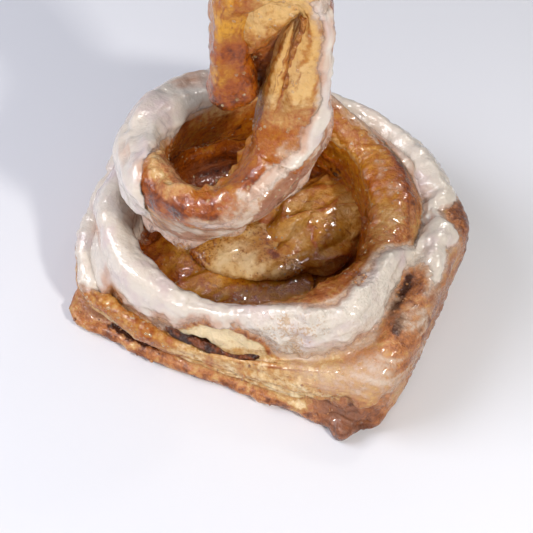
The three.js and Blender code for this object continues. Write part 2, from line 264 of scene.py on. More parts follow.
def coilStations():         # place, crest direction, half thickness and half height at each station
    s = coilShape
    up = np.array([0, 0, 1.0])
    front = np.array(s["front"])
    left = np.cross(front, up)
    foot = np.array(s["ribbonFoot"], float)
    top = np.array(s["ribbonTop"], float)
    rows = []
    for index in range(s["turnSteps"] + 1):
        angle = blend(s["start"], s["end"], index / s["turnSteps"])
        radius = s["radius"] + 14 * (1 - ease(angle, 65, 150)) - 13 * ease(angle, 255, 345)
        height = 28 + 23 * ease(angle, 50, 150) + 0.13 * max(0, angle - 140) + 12 * ease(angle, 265, 350)
        lean = 0.22 * ease(angle, 90, 140) + 0.5 * ease(angle, 230, 350)
        crest = blend(up, front, lean)
        widening = ease(angle, 275, 345)
        thickness = blend(s["halfThickness"], s["ribbonHalfWidth"], widening) + 1.8 * hump(angle, 135, 60)
        rows.append((*aboutHollow(angle, radius, height), *(crest / np.linalg.norm(crest)), thickness,
                     blend(s["halfHeight"], s["ribbonHalfDepth"] + 2, widening)))
    for share in (0, 0.35, 0.7):
        rows.append((*blend(foot, top, share), *front, blend(s["ribbonHalfWidth"], 6, share),
                     s["ribbonHalfDepth"]))
    middle = top + left * s["archRadius"]
    for turn in np.radians((0, 45, 90, 135, 180)):
        point = middle - left * s["archRadius"] * np.cos(turn) + up * s["archRadius"] * np.sin(turn)
        rows.append((*point, *front, 5.2, s["ribbonHalfDepth"]))
    flapTop = middle + left * s["archRadius"]
    for share in (0.4, 0.75, 1):
        point = flapTop + front * share * s["flapLean"] - up * share * s["flapLength"]
        rows.append((*point, *front, blend(5, 7, share), blend(s["ribbonHalfDepth"], 6.5, share)))
    return np.array(rows, float)


def coilFrames(shares):
    knots = coilStations()[None]
    last = knots.shape[1] - 1
    values = splinePoints(knots, shares * last, even=True)[0]
    nudge = 1e-4
    ahead = splinePoints(knots, np.minimum(shares + nudge, 1) * last, even=True)[0]
    behind = splinePoints(knots, np.maximum(shares - nudge, 0) * last, even=True)[0]
    travel = unit(ahead[:, :3] - behind[:, :3])
    outward = unit(np.cross(travel, values[:, 3:6]))
    return {"point": values[:, :3], "outward": outward, "crest": np.cross(outward, travel),
            "halfThickness": values[:, 6], "halfHeight": values[:, 7]}


def unit(vectors):
    return vectors / np.maximum(np.linalg.norm(vectors, axis=-1, keepdims=True), 1e-12)


def ribbonGroove(share, across):
    along = ease(share, 0.58, 0.65) * (1 - ease(share, 0.73, 0.78))
    return coilShape["grooveDepth"] * along * ridge(across - coilShape["groovePlace"], 1.8)


def coilSurface(shares, turns):     # turn is 0 on the outer face, 90 on the crest
    f = coilFrames(shares)
    share = shares[:, None]
    roundEnd = np.sqrt(np.maximum(0.02, 1 - ease(share, 0.955, 1) ** 2))
    across = np.cos(np.radians(turns))[None]
    up = np.sin(np.radians(turns))[None]
    power = coilShape["sectionPower"]
    x = np.sign(across) * np.abs(across) ** power * f["halfThickness"][:, None] * roundEnd
    y = np.sign(up) * np.abs(up) ** power * f["halfHeight"][:, None] * roundEnd
    y = y - np.where(up > 0, ribbonGroove(share, x), 0)
    return (f["point"][:, None] + x[..., None] * f["outward"][:, None]
            + y[..., None] * f["crest"][:, None])


def gridNormals(points, closedRows, closedColumns):
    along = spread(points, 0, closedRows)
    across = spread(points, 1, closedColumns)
    return unit(np.cross(along, across))


def spread(points, axis, closed):
    if closed:
        return np.roll(points, -1, axis) - np.roll(points, 1, axis)
    return np.gradient(points, axis=axis)


def gridFaces(rows, columns, closedRows, closedColumns):
    row = np.arange(rows if closedRows else rows - 1)[:, None]
    column = np.arange(columns if closedColumns else columns - 1)[None]
    nextRow = (row + 1) % rows
    nextColumn = (column + 1) % columns
    corners = (row * columns + column, row * columns + nextColumn,
               nextRow * columns + nextColumn, nextRow * columns + column)
    return np.stack(corners, axis=-1).reshape(-1, 4)


def fanFaces(ring, centre):
    return np.stack([np.full(len(ring), centre), np.roll(ring, -1), ring], axis=-1)


def gridMesh(name, points, closedRows, closedColumns, attributes):
    rows, columns = points.shape[:2]
    vertices = points.reshape(-1, 3)
    quads = gridFaces(rows, columns, closedRows, closedColumns)
    index = np.arange(rows * columns).reshape(rows, columns)
    rims = []
    if closedRows and not closedColumns:
        rims = [index[::-1, 0], index[:, -1]]
    if closedColumns and not closedRows:
        rims = [index[0], index[-1, ::-1]]
    fans = []
    middles = []
    for rim in rims:
        fans.append(fanFaces(rim, len(vertices) + len(middles)))
        middles.append(vertices[rim].mean(axis=0))
    if middles:
        vertices = np.concatenate([vertices, middles])
    masks = {key: np.broadcast_to(mask, (rows, columns)) for key, mask in attributes.items()}
    masks = {key: np.concatenate([mask.reshape(-1), [mask.mean()] * len(middles)])
             for key, mask in masks.items()}
    faces = [quads, *fans]
    if signedVolume(vertices, faces) < 0:       # turned inside out
        faces = [part[:, ::-1] for part in faces]
    return meshObject(name, vertices, faces, masks)


def signedVolume(vertices, faces):
    total = 0
    for part in faces:
        for second in range(1, part.shape[1] - 1):
            a, b, c = (vertices[part[:, corner]] for corner in (0, second, second + 1))
            total += np.sum(a * np.cross(b, c))
    return total


def meshObject(name, vertices, faces, attributes):
    mesh = bpy.data.meshes.new(name)
    mesh.vertices.add(len(vertices))
    mesh.vertices.foreach_set("co", (vertices * millimetre).astype(np.float32).ravel())
    corners = np.concatenate([part.ravel() for part in faces])
    sizes = np.concatenate([np.full(len(part), part.shape[1]) for part in faces])
    starts = np.cumsum(sizes) - sizes
    mesh.loops.add(len(corners))
    mesh.loops.foreach_set("vertex_index", corners.astype(np.int32))
    mesh.polygons.add(len(sizes))
    mesh.polygons.foreach_set("loop_start", starts.astype(np.int32))
    for key, values in attributes.items():
        layer = mesh.attributes.new(key, "FLOAT", "POINT")
        layer.data.foreach_set("value", values.astype(np.float32))
    mesh.update(calc_edges=True)
    mesh.validate()
    mesh.shade_smooth()
    piece = bpy.data.objects.new(name, mesh)
    bpy.context.scene.collection.objects.link(piece)
    return piece


class Wire:
    def __init__(self, tree, socket):
        self.tree = tree
        self.socket = socket

    def worked(self, operation, *values):
        return addNode(self.tree, "ShaderNodeMath", {"operation": operation}, dict(enumerate(values)))

    def __add__(self, other):
        return self.worked("ADD", self, other)

    def __sub__(self, other):
        return self.worked("SUBTRACT", self, other)

    def __rsub__(self, other):
        return self.worked("SUBTRACT", other, self)

    def __mul__(self, other):
        return self.worked("MULTIPLY", self, other)

    __radd__ = __add__
    __rmul__ = __mul__

    def stepped(self, low, high):       # 0 below low, 1 above high, smooth between
        settings = {"interpolation_type": "SMOOTHSTEP"}
        inputs = {"Value": self, "From Min": low, "From Max": high, "To Min": 0, "To Max": 1}
        return addNode(self.tree, "ShaderNodeMapRange", settings, inputs)


def addNode(tree, kind, settings=None, inputs=None, output=0):
    node = tree.nodes.new(kind)
    for key, value in (settings or {}).items():
        if key == "stops":
            setStops(node.color_ramp, value)
        else:
            setattr(node, key, value)
    for key, value in (inputs or {}).items():
        if isinstance(value, Wire):
            tree.links.new(value.socket, node.inputs[key])
        else:
            node.inputs[key].default_value = value
    return Wire(tree, node.outputs[output]) if node.outputs else node


def setStops(ramp, stops):
    while len(ramp.elements) > 1:
        ramp.elements.remove(ramp.elements[-1])
    for index, (place, shade) in enumerate(stops):
        element = ramp.elements[0] if index == 0 else ramp.elements.new(place)
        element.position = place
        element.color = colour(shade)


def colour(code):       # a hex colour as the eye sees it, made linear
    parts = [int(code[index:index + 2], 16) / 255 for index in (0, 2, 4)]
    return (*[part / 12.92 if part <= 0.04045 else ((part + 0.055) / 1.055) ** 2.4 for part in parts], 1)


def mixColours(tree, share, first, second, kind="MIX"):
    settings = {"data_type": "RGBA", "blend_type": kind}
    inputs = {0: share, 6: first, 7: second}
    inputs = {key: colour(value) if isinstance(value, str) else value for key, value in inputs.items()}
    return addNode(tree, "ShaderNodeMix", settings, inputs, output=2)


def attributeOf(tree, name):
    return addNode(tree, "ShaderNodeAttribute", {"attribute_name": name}, output=2)


def noiseOf(tree, place, scale, detail=3, stretch=None, distortion=0):
    if stretch:
        place = addNode(tree, "ShaderNodeMapping", {}, {"Vector": place, "Scale": stretch})
    inputs = {"Vector": place, "Scale": scale, "Detail": detail, "Distortion": distortion}
    return addNode(tree, "ShaderNodeTexNoise", {}, inputs)


def newMaterial(name):
    material = bpy.data.materials.new(name)
    material.use_nodes = True
    tree = material.node_tree
    tree.nodes.clear()
    place = addNode(tree, "ShaderNodeTexCoord", output=3)
    return material, tree, place


def finishMaterial(tree, values):
    shader = addNode(tree, "ShaderNodeBsdfPrincipled", {}, values)
    addNode(tree, "ShaderNodeOutputMaterial", {}, {"Surface": shader})


doughFinish = {
    "crumb": "f2dcb2",
    "golden": "cda265",
    "orange": "b97542",
    "brown": "7c4322",
    "dark": "3a1c10",
    "syrup": "dcae40",
    "streak": "8a4316",
    "stretched": "9c6a50",
    # the dark goo colour, which is also painted as shade
    "goo": "45200f",
    "speck": "6e3310",
    "film": "d8c6b6",
    "filmEdge": "c29a78",
}


def doughMaterial():
    material, tree, place = newMaterial("bakedDough")
    f = doughFinish
    broad = noiseOf(tree, place, 140, 4) - 0.5
    small = noiseOf(tree, place, 640, 6) - 0.5
    pores = noiseOf(tree, place, 1500, 3) - 0.5
    golden = attributeOf(tree, "golden") + broad * 0.5 + small * 0.75 + pores * 0.35
    stops = [(0, f["crumb"]), (0.3, f["golden"]), (0.55, f["orange"]), (0.8, f["brown"]), (1, f["dark"])]
    base = addNode(tree, "ShaderNodeValToRGB", {"stops": stops}, {"Fac": golden})
    syrup = (attributeOf(tree, "syrup") + broad * 0.35 + small * 0.2).stepped(0.0, 0.9)
    base = mixColours(tree, syrup, base, mixColours(tree, 1.0, base, f["syrup"], "MULTIPLY"))
    wound = {"X": attributeOf(tree, "along"), "Y": attributeOf(tree, "across")}
    wound = addNode(tree, "ShaderNodeCombineXYZ", {}, wound)
    layers = noiseOf(tree, wound, 0.5, 4, stretch=(0.1, 1, 1), distortion=0.15) - 0.5
    lines = noiseOf(tree, wound, 1.6, 3, stretch=(0.07, 1, 1), distortion=0.2) - 0.5
    streaks = (attributeOf(tree, "streaks") + layers * 2.2 + lines * 0.7 + small * 0.7).stepped(0.6, 1.0)
    base = mixColours(tree, streaks * 0.8, base, f["streak"])
    fibres = noiseOf(tree, place, 300, 4, stretch=(0.35, 0.35, 2.2), distortion=0.6) - 0.5
    pink = (attributeOf(tree, "pink") + fibres * 0.9 + small * 0.4).stepped(0.25, 0.85)
    base = mixColours(tree, pink * 0.85, base, f["stretched"])
    specks = (attributeOf(tree, "specks") + pores * 2.0 + small).stepped(0.72, 0.95)
    base = mixColours(tree, specks * 0.7, base, f["speck"])
    # dark goo, which also serves as painted shade in the hollow, inside the coil's loop and in the pit
    goo = (attributeOf(tree, "goo") + small * 0.6 + broad * 0.3).stepped(0.4, 0.6)
    base = mixColours(tree, goo, base, f["goo"])
    glaze = attributeOf(tree, "glaze") + broad * 0.5 + small * 0.55 + fibres * 0.2
    base = mixColours(tree, glaze.stepped(0.2, 0.7) * 0.7, base, f["filmEdge"])
    base = mixColours(tree, glaze.stepped(0.45, 0.95) * 0.85, base, f["film"])
    wet = attributeOf(tree, "wet")
    rough = 0.42 - wet * 0.33 - goo * 0.06 + small * 0.25
    height = small * 0.55 + pores * 0.5 + fibres * pink * 0.5 + layers * 0.3
    normal = addNode(tree, "ShaderNodeBump", {}, {"Strength": 0.7, "Distance": 0.0012, "Height": height})
    finishMaterial(tree, {"Base Color": base, "Roughness": rough, "Normal": normal, "Coat Weight": wet * 0.38,
                          "Coat Roughness": 0.08, "Specular IOR Level": 0.32, "Subsurface Weight": 0.06,
                          "Subsurface Scale": 0.001, "Subsurface Radius": (1.0, 0.45, 0.2)})
    return material


icingFinish = {
    "thick": "ded3c6",
    "lilac": "cdb8b8",
    "thin": "cba791",
    "bare": "b5794c",
    "speck": "b98a50",
}


def icingMaterial():
    material, tree, place = newMaterial("wetIcing")
    f = icingFinish
    broad = noiseOf(tree, place, 90, 3) - 0.5
    middle = noiseOf(tree, place, 260, 4) - 0.5
    small = noiseOf(tree, place, 800, 4) - 0.5
    base = mixColours(tree, (broad * 4.0 + 0.1).stepped(0, 1) * 0.8, f["thick"], f["lilac"])
    thin = attributeOf(tree, "thin") + broad * 0.35 + middle * 0.35
    base = mixColours(tree, thin.stepped(0.2, 0.9), base, f["thin"])
    base = mixColours(tree, thin.stepped(0.85, 1.3), base, f["bare"])
    grainy = attributeOf(tree, "specks")
    grit = noiseOf(tree, place, 1300, 2) - 0.5
    specks = (grainy + grit * 2.6 + small).stepped(0.8, 1.3)
    base = mixColours(tree, specks * 0.6, base, f["speck"])
    height = broad * 0.4 + middle * 0.5 + (small + grit) * (grainy * 0.6 + 0.14)
    normal = addNode(tree, "ShaderNodeBump", {}, {"Strength": 0.6, "Distance": 0.0016, "Height": height})
    rough = 0.24 + middle * 0.3 + grainy * 0.04
    cover = (attributeOf(tree, "cover") + middle * 0.9 + small).stepped(0.1, 1.0)
    finishMaterial(tree, {"Base Color": base, "Roughness": rough, "Normal": normal, "Alpha": cover,
                          "Coat Weight": 0.55, "Coat Roughness": 0.06, "Subsurface Weight": 0.06,
                          "Subsurface Scale": 0.0008, "Subsurface Radius": (1.0, 0.7, 0.55)})
    return material


fillingFinish = {
    "cinnamonFilling": ("34140a", "84431e"),
    "ribbonSyrup": ("94501c", "c4843c"),
}


def fillingMaterial(name, dark, light):
    material, tree, place = newMaterial(name)
    small = noiseOf(tree, place, 420, 5)
    grain = noiseOf(tree, place, 1600, 3)
    base = mixColours(tree, small.stepped(0.4, 0.7), dark, light)
    height = small + grain * 0.4
    normal = addNode(tree, "ShaderNodeBump", {}, {"Strength": 1.0, "Distance": 0.002, "Height": height})
    rough = 0.12 + grain * 0.2
    finishMaterial(tree, {"Base Color": base, "Roughness": rough, "Normal": normal})
    return material


rollDetail = {
    "angleSteps": 640,
    "guideSteps": 148,
    "lastGuide": 16,        # the profile's guides are counted from the base's edge
    "lumpSize": 15,
    "lumpDepth": 0.7,
    "smallLumpDepth": 0.2,
    "grainDepth": 0.14,
    "fibreDepth": 0.5,
    "wrinkleDepth": 0.3,
    "raggedDepth": 1.3,
    "foldDepth": 1.6,
    "wallFolds": {11.05: 0.8, 11.7: 1.1, 12.3: 0.9, 12.95: 0.8},        # guide and depth of each
}

# Lines that run along the roll: an angle about the hollow, and a place along the profile's guides.
rollLines = {
    "footTop": [(-142, 1.2), (-120, 1.45), (-60, 1.45), (-50, 1.9), (-43, 2.2), (-34, 1.5), (-10, 1.2)],
    "lipTop": [(-142, 3.9), (-127, 4.2), (-114, 3.5), (-95, 3.3), (-68, 2.9), (-50, 3.1), (-40, 3.3)],
    "stripTop": [(-142, 5.0), (-134, 5.3), (-128, 6.1), (-108, 6.4), (-90, 6.45), (-78, 6.2), (-66, 5.6),
                 (-57, 5.4), (-48, 4.6), (-40, 4.3)],
    "patchTop": [(-104, 6.5), (-97, 6.9), (-87, 7.45), (-75, 7.6), (-67, 7.25), (-60, 6.8), (-53, 6.0)],
    "icingBottom": [(-180, 3.9), (-150, 4.0), (-138, 4.3), (-133, 5.0), (-130, 6.1), (-118, 6.35),
                    (-106, 6.5), (-99, 6.6), (-95, 7.0), (-83, 7.45), (-69, 7.45), (-61, 6.95), (-55, 6.2),
                    (-50, 6.0), (-44, 5.9), (-38, 6.1), (-30, 5.9), (-26, 5.7), (-18, 5.85), (-13, 6.0),
                    (-10, 5.7), (-7.5, 4.4), (-3, 4.0), (3, 4.0), (9, 4.2), (14, 3.8), (22, 4.8), (30, 3.9),
                    (60, 3.8), (180, 3.9)],
    "seamValley": [(-178, 5.2), (-160, 6.4), (-146, 7.7), (-136, 7.4), (-130, 6.6), (-100, 7.6), (-60, 8.0)],
    "icingTop": [(-180, 13.0), (-165, 13.2), (-150, 12.4), (-135, 11.4), (-100, 10.6), (-80, 10.4), (-62, 10),
                 (-50, 9.5), (-41, 8.9), (-32, 8.9), (-24, 9.0), (-15, 9.2), (-6, 9.2), (-1, 8.8), (3, 7.8),
                 (8, 6.8), (18, 6.1), (25, 6.1), (31, 6.3), (35, 6.9), (40, 7.5), (48, 7.9), (70, 7.6),
                 (95, 7.4), (110, 8.2), (125, 9.4), (160, 10.6), (180, 13.0)],
}


def lineAt(name, angle):
    return np.interp(angle, *zip(*rollLines[name]))


def icedEdge(angle, guide):     # above 0 within the icing, which leaves a bare pit at the right
    edge = np.minimum(guide - lineAt("icingBottom", angle), lineAt("icingTop", angle) - guide)
    pit = np.hypot((angle + 6) / 6.5, (guide - 5.35) / 0.75) - 1
    return np.minimum(edge, 0.75 * pit)


def layerEdge(distance, width):         # sharp below, tapering away above
    return np.where(distance > 0, np.exp(-np.abs(distance) / width), ridge(distance, 0.22 * width))


guideTries = np.linspace(0, rollDetail["lastGuide"], 1600)
profileSteps = np.diff(rollSurface(np.linspace(-180, 165, 24), guideTries), axis=1)
profileSteps = np.linalg.norm(profileSteps, axis=-1)
profileLength = np.concatenate([[0], np.cumsum(profileSteps.mean(axis=0))])


def guideLength(guide):         # millimetres along the profile
    return np.interp(guide, guideTries, profileLength)


def evenGuides(count):
    return np.interp(np.linspace(0, profileLength[-1], count), profileLength, guideTries)


def frontZones(points, angle, guide):       # how far each spot is above the lines of the front, in guides
    sway = 0.14 * noise(points, 8, 2, 5) + 0.06 * noise(points, 3, 2, 6)
    names = ("footTop", "lipTop", "stripTop", "patchTop")
    return {name: guide - lineAt(name, angle) + sway for name in names}


def rollRelief(points, angle, guide):       # millimetres out from the smooth surface
    d = rollDetail
    front = ease(angle, -150, -138) * (1 - ease(angle, -46, -34))
    left = 1 - ease(angle, -112, -84)
    right = hump(angle, -2, 40)
    height = points[..., 2]
    zone = frontZones(points, angle, guide)
    sway = noise(points, 9, 3, 5)
    relief = d["lumpDepth"] * noise(points, d["lumpSize"], 3, 1)
    relief += d["smallLumpDepth"] * noise(points, 3.2, 3, 2)
    relief += d["grainDepth"] * noise(points, 1.7, 2, 70)
    foot = front * (1 - ease(zone["footTop"], -0.1, 0.12))
    relief += foot * (0.7 + 1.1 * noise(points, 11, 2, 7) + 0.35 * noise(points, 3, 2, 19))
    cleft = front * ridge(zone["footTop"] - 0.42, 0.3)
    relief -= cleft * (1.2 + 1.6 * hump(angle, -120, 28) + 0.7 * sway)
    lip = front * between(guide, 2.0, 3.1, 0.2)
    relief += lip * 0.5 * hump(angle, -95, 50)
    relief -= front * ridge(zone["lipTop"], 0.16)
    strip = front * ease(zone["lipTop"], -0.05, 0.5) * (1 - ease(zone["stripTop"], -0.7, 0))
    relief += strip * (0.5 + 1.4 * left) * (1 + 0.25 * noise(points, 4, 2, 9))
    relief -= front * 1.4 * ridge(zone["stripTop"] - 0.12, 0.2) * hump(angle, -82, 45)
    patch = between(angle, -100, -55, 4) * between(guide, 6.5, 7.5, 0.1)
    relief -= 0.5 * patch * (1 + 0.6 * noise(points, 1.6, 2, 12))
    relief += 0.8 * ridge(zone["patchTop"], 0.12) * between(angle, -98, -56, 4)     # the patch's torn edge
    relief -= front * 0.8 * (1 - left) * ridge(guide - 2.6 - 0.25 * sway, 0.12)     # creases between layers
    relief -= hump(angle, -55, 22) * 0.7 * ridge(guide - 4.1 - 0.3 * sway, 0.14)
    face = between(guide, 0.9, 4.6, 0.4)
    strands = laidNoise(angle / 9, (height + 0.28 * angle) / 1.3, 3, 8)
    relief += right * face * d["fibreDepth"] * strands
    relief += right * face * 1.2 * layerEdge(height - 9 - 0.25 * angle - 1.5 * sway, 5)
    relief += 2.6 * hump(angle, 22, 11) * between(guide, 2.4, 4.4, 0.6)       # the bulge at the right
    relief += 4.2 * hump(angle, -39.5, 4) * between(guide, 0.3, 1.5, 0.3)       # the corner's tip
    relief += hump(angle, -37, 11) * (0.6 + 2.0 * noise(points, 5, 3, 16)) * between(guide, 0.6, 3.6, 0.4)
    pit = hump(angle, -7, 10) * between(guide, 4.8, 5.9, 0.3)
    relief += pit * (0.6 * noise(points, 3.2, 2, 17) - 1.0)
    ragged = between(guide, 9.6, 10.7, 0.5) * (0.3 + hump(angle, -30, 70))
    relief += ragged * d["raggedDepth"] * noise(points, 4.5, 2, 14)
    tube = between(guide, 7.0, 10.2, 0.4) * hump(angle, 45, 70)
    relief += d["wrinkleDepth"] * tube * laidNoise(angle / 2.2, guide * 1.1, 3, 18)
    relief -= 1.3 * hump(angle, 18, 9) * ridge(guide - 7.4 - 0.03 * (angle - 18), 0.25)
    wall = between(guide, 10.7, 13.6, 0.3) * (0.25 + 0.75 * hump(angle, 70, 85))
    for place, depth in d["wallFolds"].items():
        bend = 0.14 * sway + 0.1 * noise(points * (1, 1, 0), 16, 2, int(place * 7)) - 0.011 * (angle - 50)
        relief += d["foldDepth"] * depth * wall * layerEdge(place + bend - guide, 0.28)
    return relief * ease(guide, 0.15, 0.9)


def rollMasks(points, angle, guide):        # where the roll's dough is golden, soaked, iced and so on, and where shade is painted
    rough = noise(points, 7, 3, 21)
    fine = noise(points, 2.6, 3, 23)
    zone = frontZones(points, angle, guide)
    front = ease(angle, -152, -140) * (1 - ease(angle, -46, -32))
    left = 1 - ease(angle, -112, -84)
    corner = hump(angle, -38, 13)
    bulge = hump(angle, 22, 11)
    face = between(guide, 0, 4.6, 0.4)
    inside = ease(guide, 10.3, 11)
    stretched = hump(angle, -2, 38) * face
    aboveFoot = front * ease(zone["footTop"], 0, 0.3) * (1 - ease(guide, 6.4, 6.6))
    strip = front * ease(zone["lipTop"], -0.1, 0.2) * (1 - ease(zone["stripTop"], -0.2, 0.1))
    tube = between(guide, 7.6, 10.3, 0.4) * hump(angle, 45, 80)
    bareStrip = hump(angle, -22, 34) * between(guide, 8.9, 10.6, 0.25)
    patch = between(angle, -99, -56, 2) * ease(guide, 6.45, 6.6) * (1 - ease(zone["patchTop"], -0.18, -0.04))
    rim = between(angle, -100, -53, 2) * ridge(zone["patchTop"] - 0.03, 0.09)
    lowPatch = between(angle, -59, -46, 3) * between(guide, 1.7, 2.7, 0.25)
    darkStreak = ridge(guide - 5.72 - 0.12 * fine, 0.24) * between(angle, -15.5, -2, 1)
    darkStreak = darkStreak + 0.8 * ridge(guide - 5.0 - 0.1 * rough, 0.35) * between(angle, -22, -16, 1)
    golden = layered(0.52 + 0.1 * rough, [
        (0.66 + 0.16 * fine, 1 - ease(guide, 0.9, 1.9)),        # the base's edge
        (0.62 + 0.25 * fine, front * (1 - ease(zone["footTop"], -0.1, 0.2))),
        (0.26 + 0.16 * fine + 0.1 * rough, aboveFoot),
        (0.36 + 0.16 * fine, strip * (1 - ease(angle, -104, -84))),
        (0.28 + 0.14 * rough + 0.1 * fine, tube),
        (0.62, 0.7 * tube * hump(angle, 75, 30)),
        (0.55, 0.8 * tube * hump(angle, 32, 16)),
        (0.76 + 0.1 * fine, ridge(guide - 7.7, 0.55) * hump(angle, 40, 60)),        # under the tube
        (0.5 + 0.12 * fine, bareStrip),
        (-0.05 + 0.1 * fine, patch),
        (0.66, rim),
        (0.06, lowPatch),
        (0.8 + 0.18 * rough, corner * (1 - ease(guide, 2.6, 3.6))),
        (0.64 + 0.22 * fine, hump(angle, -12, 26) * between(guide, 3.0, 7.4, 0.4)),
        (0.74 + 0.2 * fine, bulge * between(guide, 2.2, 4.8, 0.3)),
        (1.0, np.minimum(darkStreak, 1)),
        (0.8, 0.8 * front * ridge(zone["footTop"] - 0.35, 0.24) * (0.5 + 0.5 * left)),      # the cleft, darkened: painted shade
        (0.42 + 0.15 * fine, 0.8 * hump(angle, -136, 12) * (1 - ease(guide, 3.4, 4.4))),
        # painted shadow: the hollow's left wall, darkened under the coil
        (0.95, 0.85 * inside * hump(angle, -178, 40) * (1 - ease(guide, 14.6, 15.4))),
        # painted shade: the hollow's back-left wall and floor, seen through the coil's hole
        (0.95, 0.85 * inside * hump(angle, 132, 50) * ease(guide, 11.6, 12.6)),
    ])
    goo = sum([
        0.36 * corner * between(guide, 1.2, 2.8, 0.5),
        0.85 * darkStreak * (1 + 0.4 * fine),
        # dark goo and painted shade on the hollow's right-front wall, which lies in shadow
        0.6 * inside * hump(angle, -32, 70) * (1 - ease(guide, 13.6, 14.6)) * ease(guide, 11.2, 12.4),
        front * 0.75 * ridge(zone["stripTop"] - 0.1, 0.24) * between(angle, -112, -54, 5),
        front * 1.15 * ridge(zone["footTop"] - 0.3, 0.36) * hump(angle, -117, 20) * (1 + 0.3 * fine),
    ])
    syrup = 0.8 * bareStrip + inside * (0.95 + 0.15 * rough) + (0.75 + 0.3 * hump(angle, 32, 20)) * tube
    syrup = syrup + (0.3 + 0.35 * left) * strip - 0.6 * patch
    pink = sum([
        stretched * (0.75 + 0.3 * rough),
        0.35 * front * between(guide, 1.5, 3, 0.4),
        0.5 * corner * face,
        0.35 * hump(angle, -137, 14) * between(guide, 0.8, 4, 0.4),
    ])
    wet = 0.45 + 0.4 * inside + 0.3 * np.clip(goo, 0, 1) + 0.15 * rough + 0.4 * bareStrip
    wet = wet + 0.4 * tube + (0.3 + 0.3 * left) * strip
    strands = laidNoise(angle / 9, (points[..., 2] + 0.28 * angle) / 1.6, 3, 8)
    glaze = sum([
        0.62 * ease(icedEdge(angle, guide), -0.4, 0.15),
        0.55 * hump(angle, -45, 18) * between(guide, 3.6, 6, 0.8),
        (0.35 + 0.3 * fine) * hump(angle, 32, 55) * between(guide, 8.2, 10.2, 0.5),
        hump(angle, -12, 36) * between(guide, 1.2, 5.4, 0.8) * (0.26 + 0.6 * strands),
        0.5 * hump(angle, -31, 13) * between(guide, 2.6, 5.6, 0.8),
        0.3 * hump(angle, -30, 26) * between(guide, 8.8, 9.8, 0.3),
        0.35 * hump(angle, -134, 12) * between(guide, 2.6, 4.4, 0.4),
    ])
    glaze = glaze * (1 - 0.8 * hump(angle, -27, 30) * ease(guide - lineAt("icingTop", angle), -0.15, 0.15))
    glaze = glaze * (1 - 0.7 * bulge * between(guide, 2.2, 4.8, 0.3))
    glaze = glaze * (1 - 0.8 * corner * (1 - ease(guide, 3.2, 4.0)))
    glaze = glaze * (1 - 0.9 * patch) * (1 - 0.6 * inside) * (1 - 0.95 * rim)
    streaks = 0.3 + 0.35 * inside - 0.25 * patch + 0.2 * front - 0.45 * between(guide, 7.6, 10.3, 0.4)
    beads = 0.9 * strip * left + 0.3 * inside * (1 - hump(angle, -30, 60)) + 0.8 * tube + 0.5 * bareStrip
    beads = np.clip(beads + 0.3 * hump(angle, -46, 20) * between(guide, 3.4, 6, 0.4), 0, 1)
    crumbs = 0.3 * hump(angle, -10, 10) * between(guide, 4.8, 6, 0.3) + 0.05 * front * face
    return {"golden": golden, "syrup": syrup, "pink": pink, "goo": goo, "wet": wet, "glaze": glaze,
            "specks": 0.33 * inside + 0.2 * face + 0.15, "streaks": streaks, "along": 0.75 * angle,
            "across": guideLength(guide), "sugarBeads": beads * ease(fine, -0.3, 0.8), "crumbs": crumbs}


def rollGrid(angles, guides):       # guides are one row for all angles, or a row for each
    points = rollSurface(angles, guides)
    normals = gridNormals(points, True, False)
    angle, guide = np.broadcast_arrays(angles[:, None], guides)
    return points, normals, angle, guide


def allRound(steps):
    return np.linspace(-180, 180, steps, endpoint=False)


def makeRollDough():
    guides = evenGuides(rollDetail["guideSteps"])
    points, normals, angle, guide = rollGrid(allRound(rollDetail["angleSteps"]), guides)
    masks = rollMasks(points, angle, guide)
    points = points + normals * rollRelief(points, angle, guide)[..., None]
    points[..., 2] = np.maximum(points[..., 2], 0)
    return gridMesh("rollDough", points, True, False, masks)


floorLayers = {         # soaked layers that lie in the hollow; smudges are brown spots, as x, y and size
    "lowerLayer": {"place": (-4, -8, 8), "half": (31, 20, 4.2), "turn": 0, "tilt": 2, "power": 2.2,
                   "edge": 0.8, "folds": 1.6, "syrup": 1.0, "golden": 0.3, "specks": 0.5, "streaks": 0.4,
                   "smudges": ()},
    "leafLayer": {"place": (3.5, 2, 13), "half": (23, 12, 2.6), "turn": 27, "tilt": 3, "power": 1.55,
                  "edge": 0.45, "folds": 0.5, "syrup": 0.6, "golden": 0.14, "specks": 0.55, "streaks": 0.1,
                  "smudges": ((0, -4, 2.4), (2.6, -5.4, 1.8), (-8, -8.5, 2))},
    "domeLayer": {"place": (15, 20, 13), "half": (19, 20, 9), "turn": -25, "tilt": 8, "power": 2.2,
                  "edge": 0.8, "folds": 3.4, "syrup": 0.8, "golden": 0.2, "specks": 0.3, "streaks": 0.4,
                  "smudges": ()},
}


def ballGrid(aroundSteps, downSteps):       # angles round a ball and down from its top
    around = np.linspace(0, 2 * np.pi, aroundSteps, endpoint=False)[None]
    return around, np.linspace(0.02, 0.98, downSteps)[:, None] * np.pi


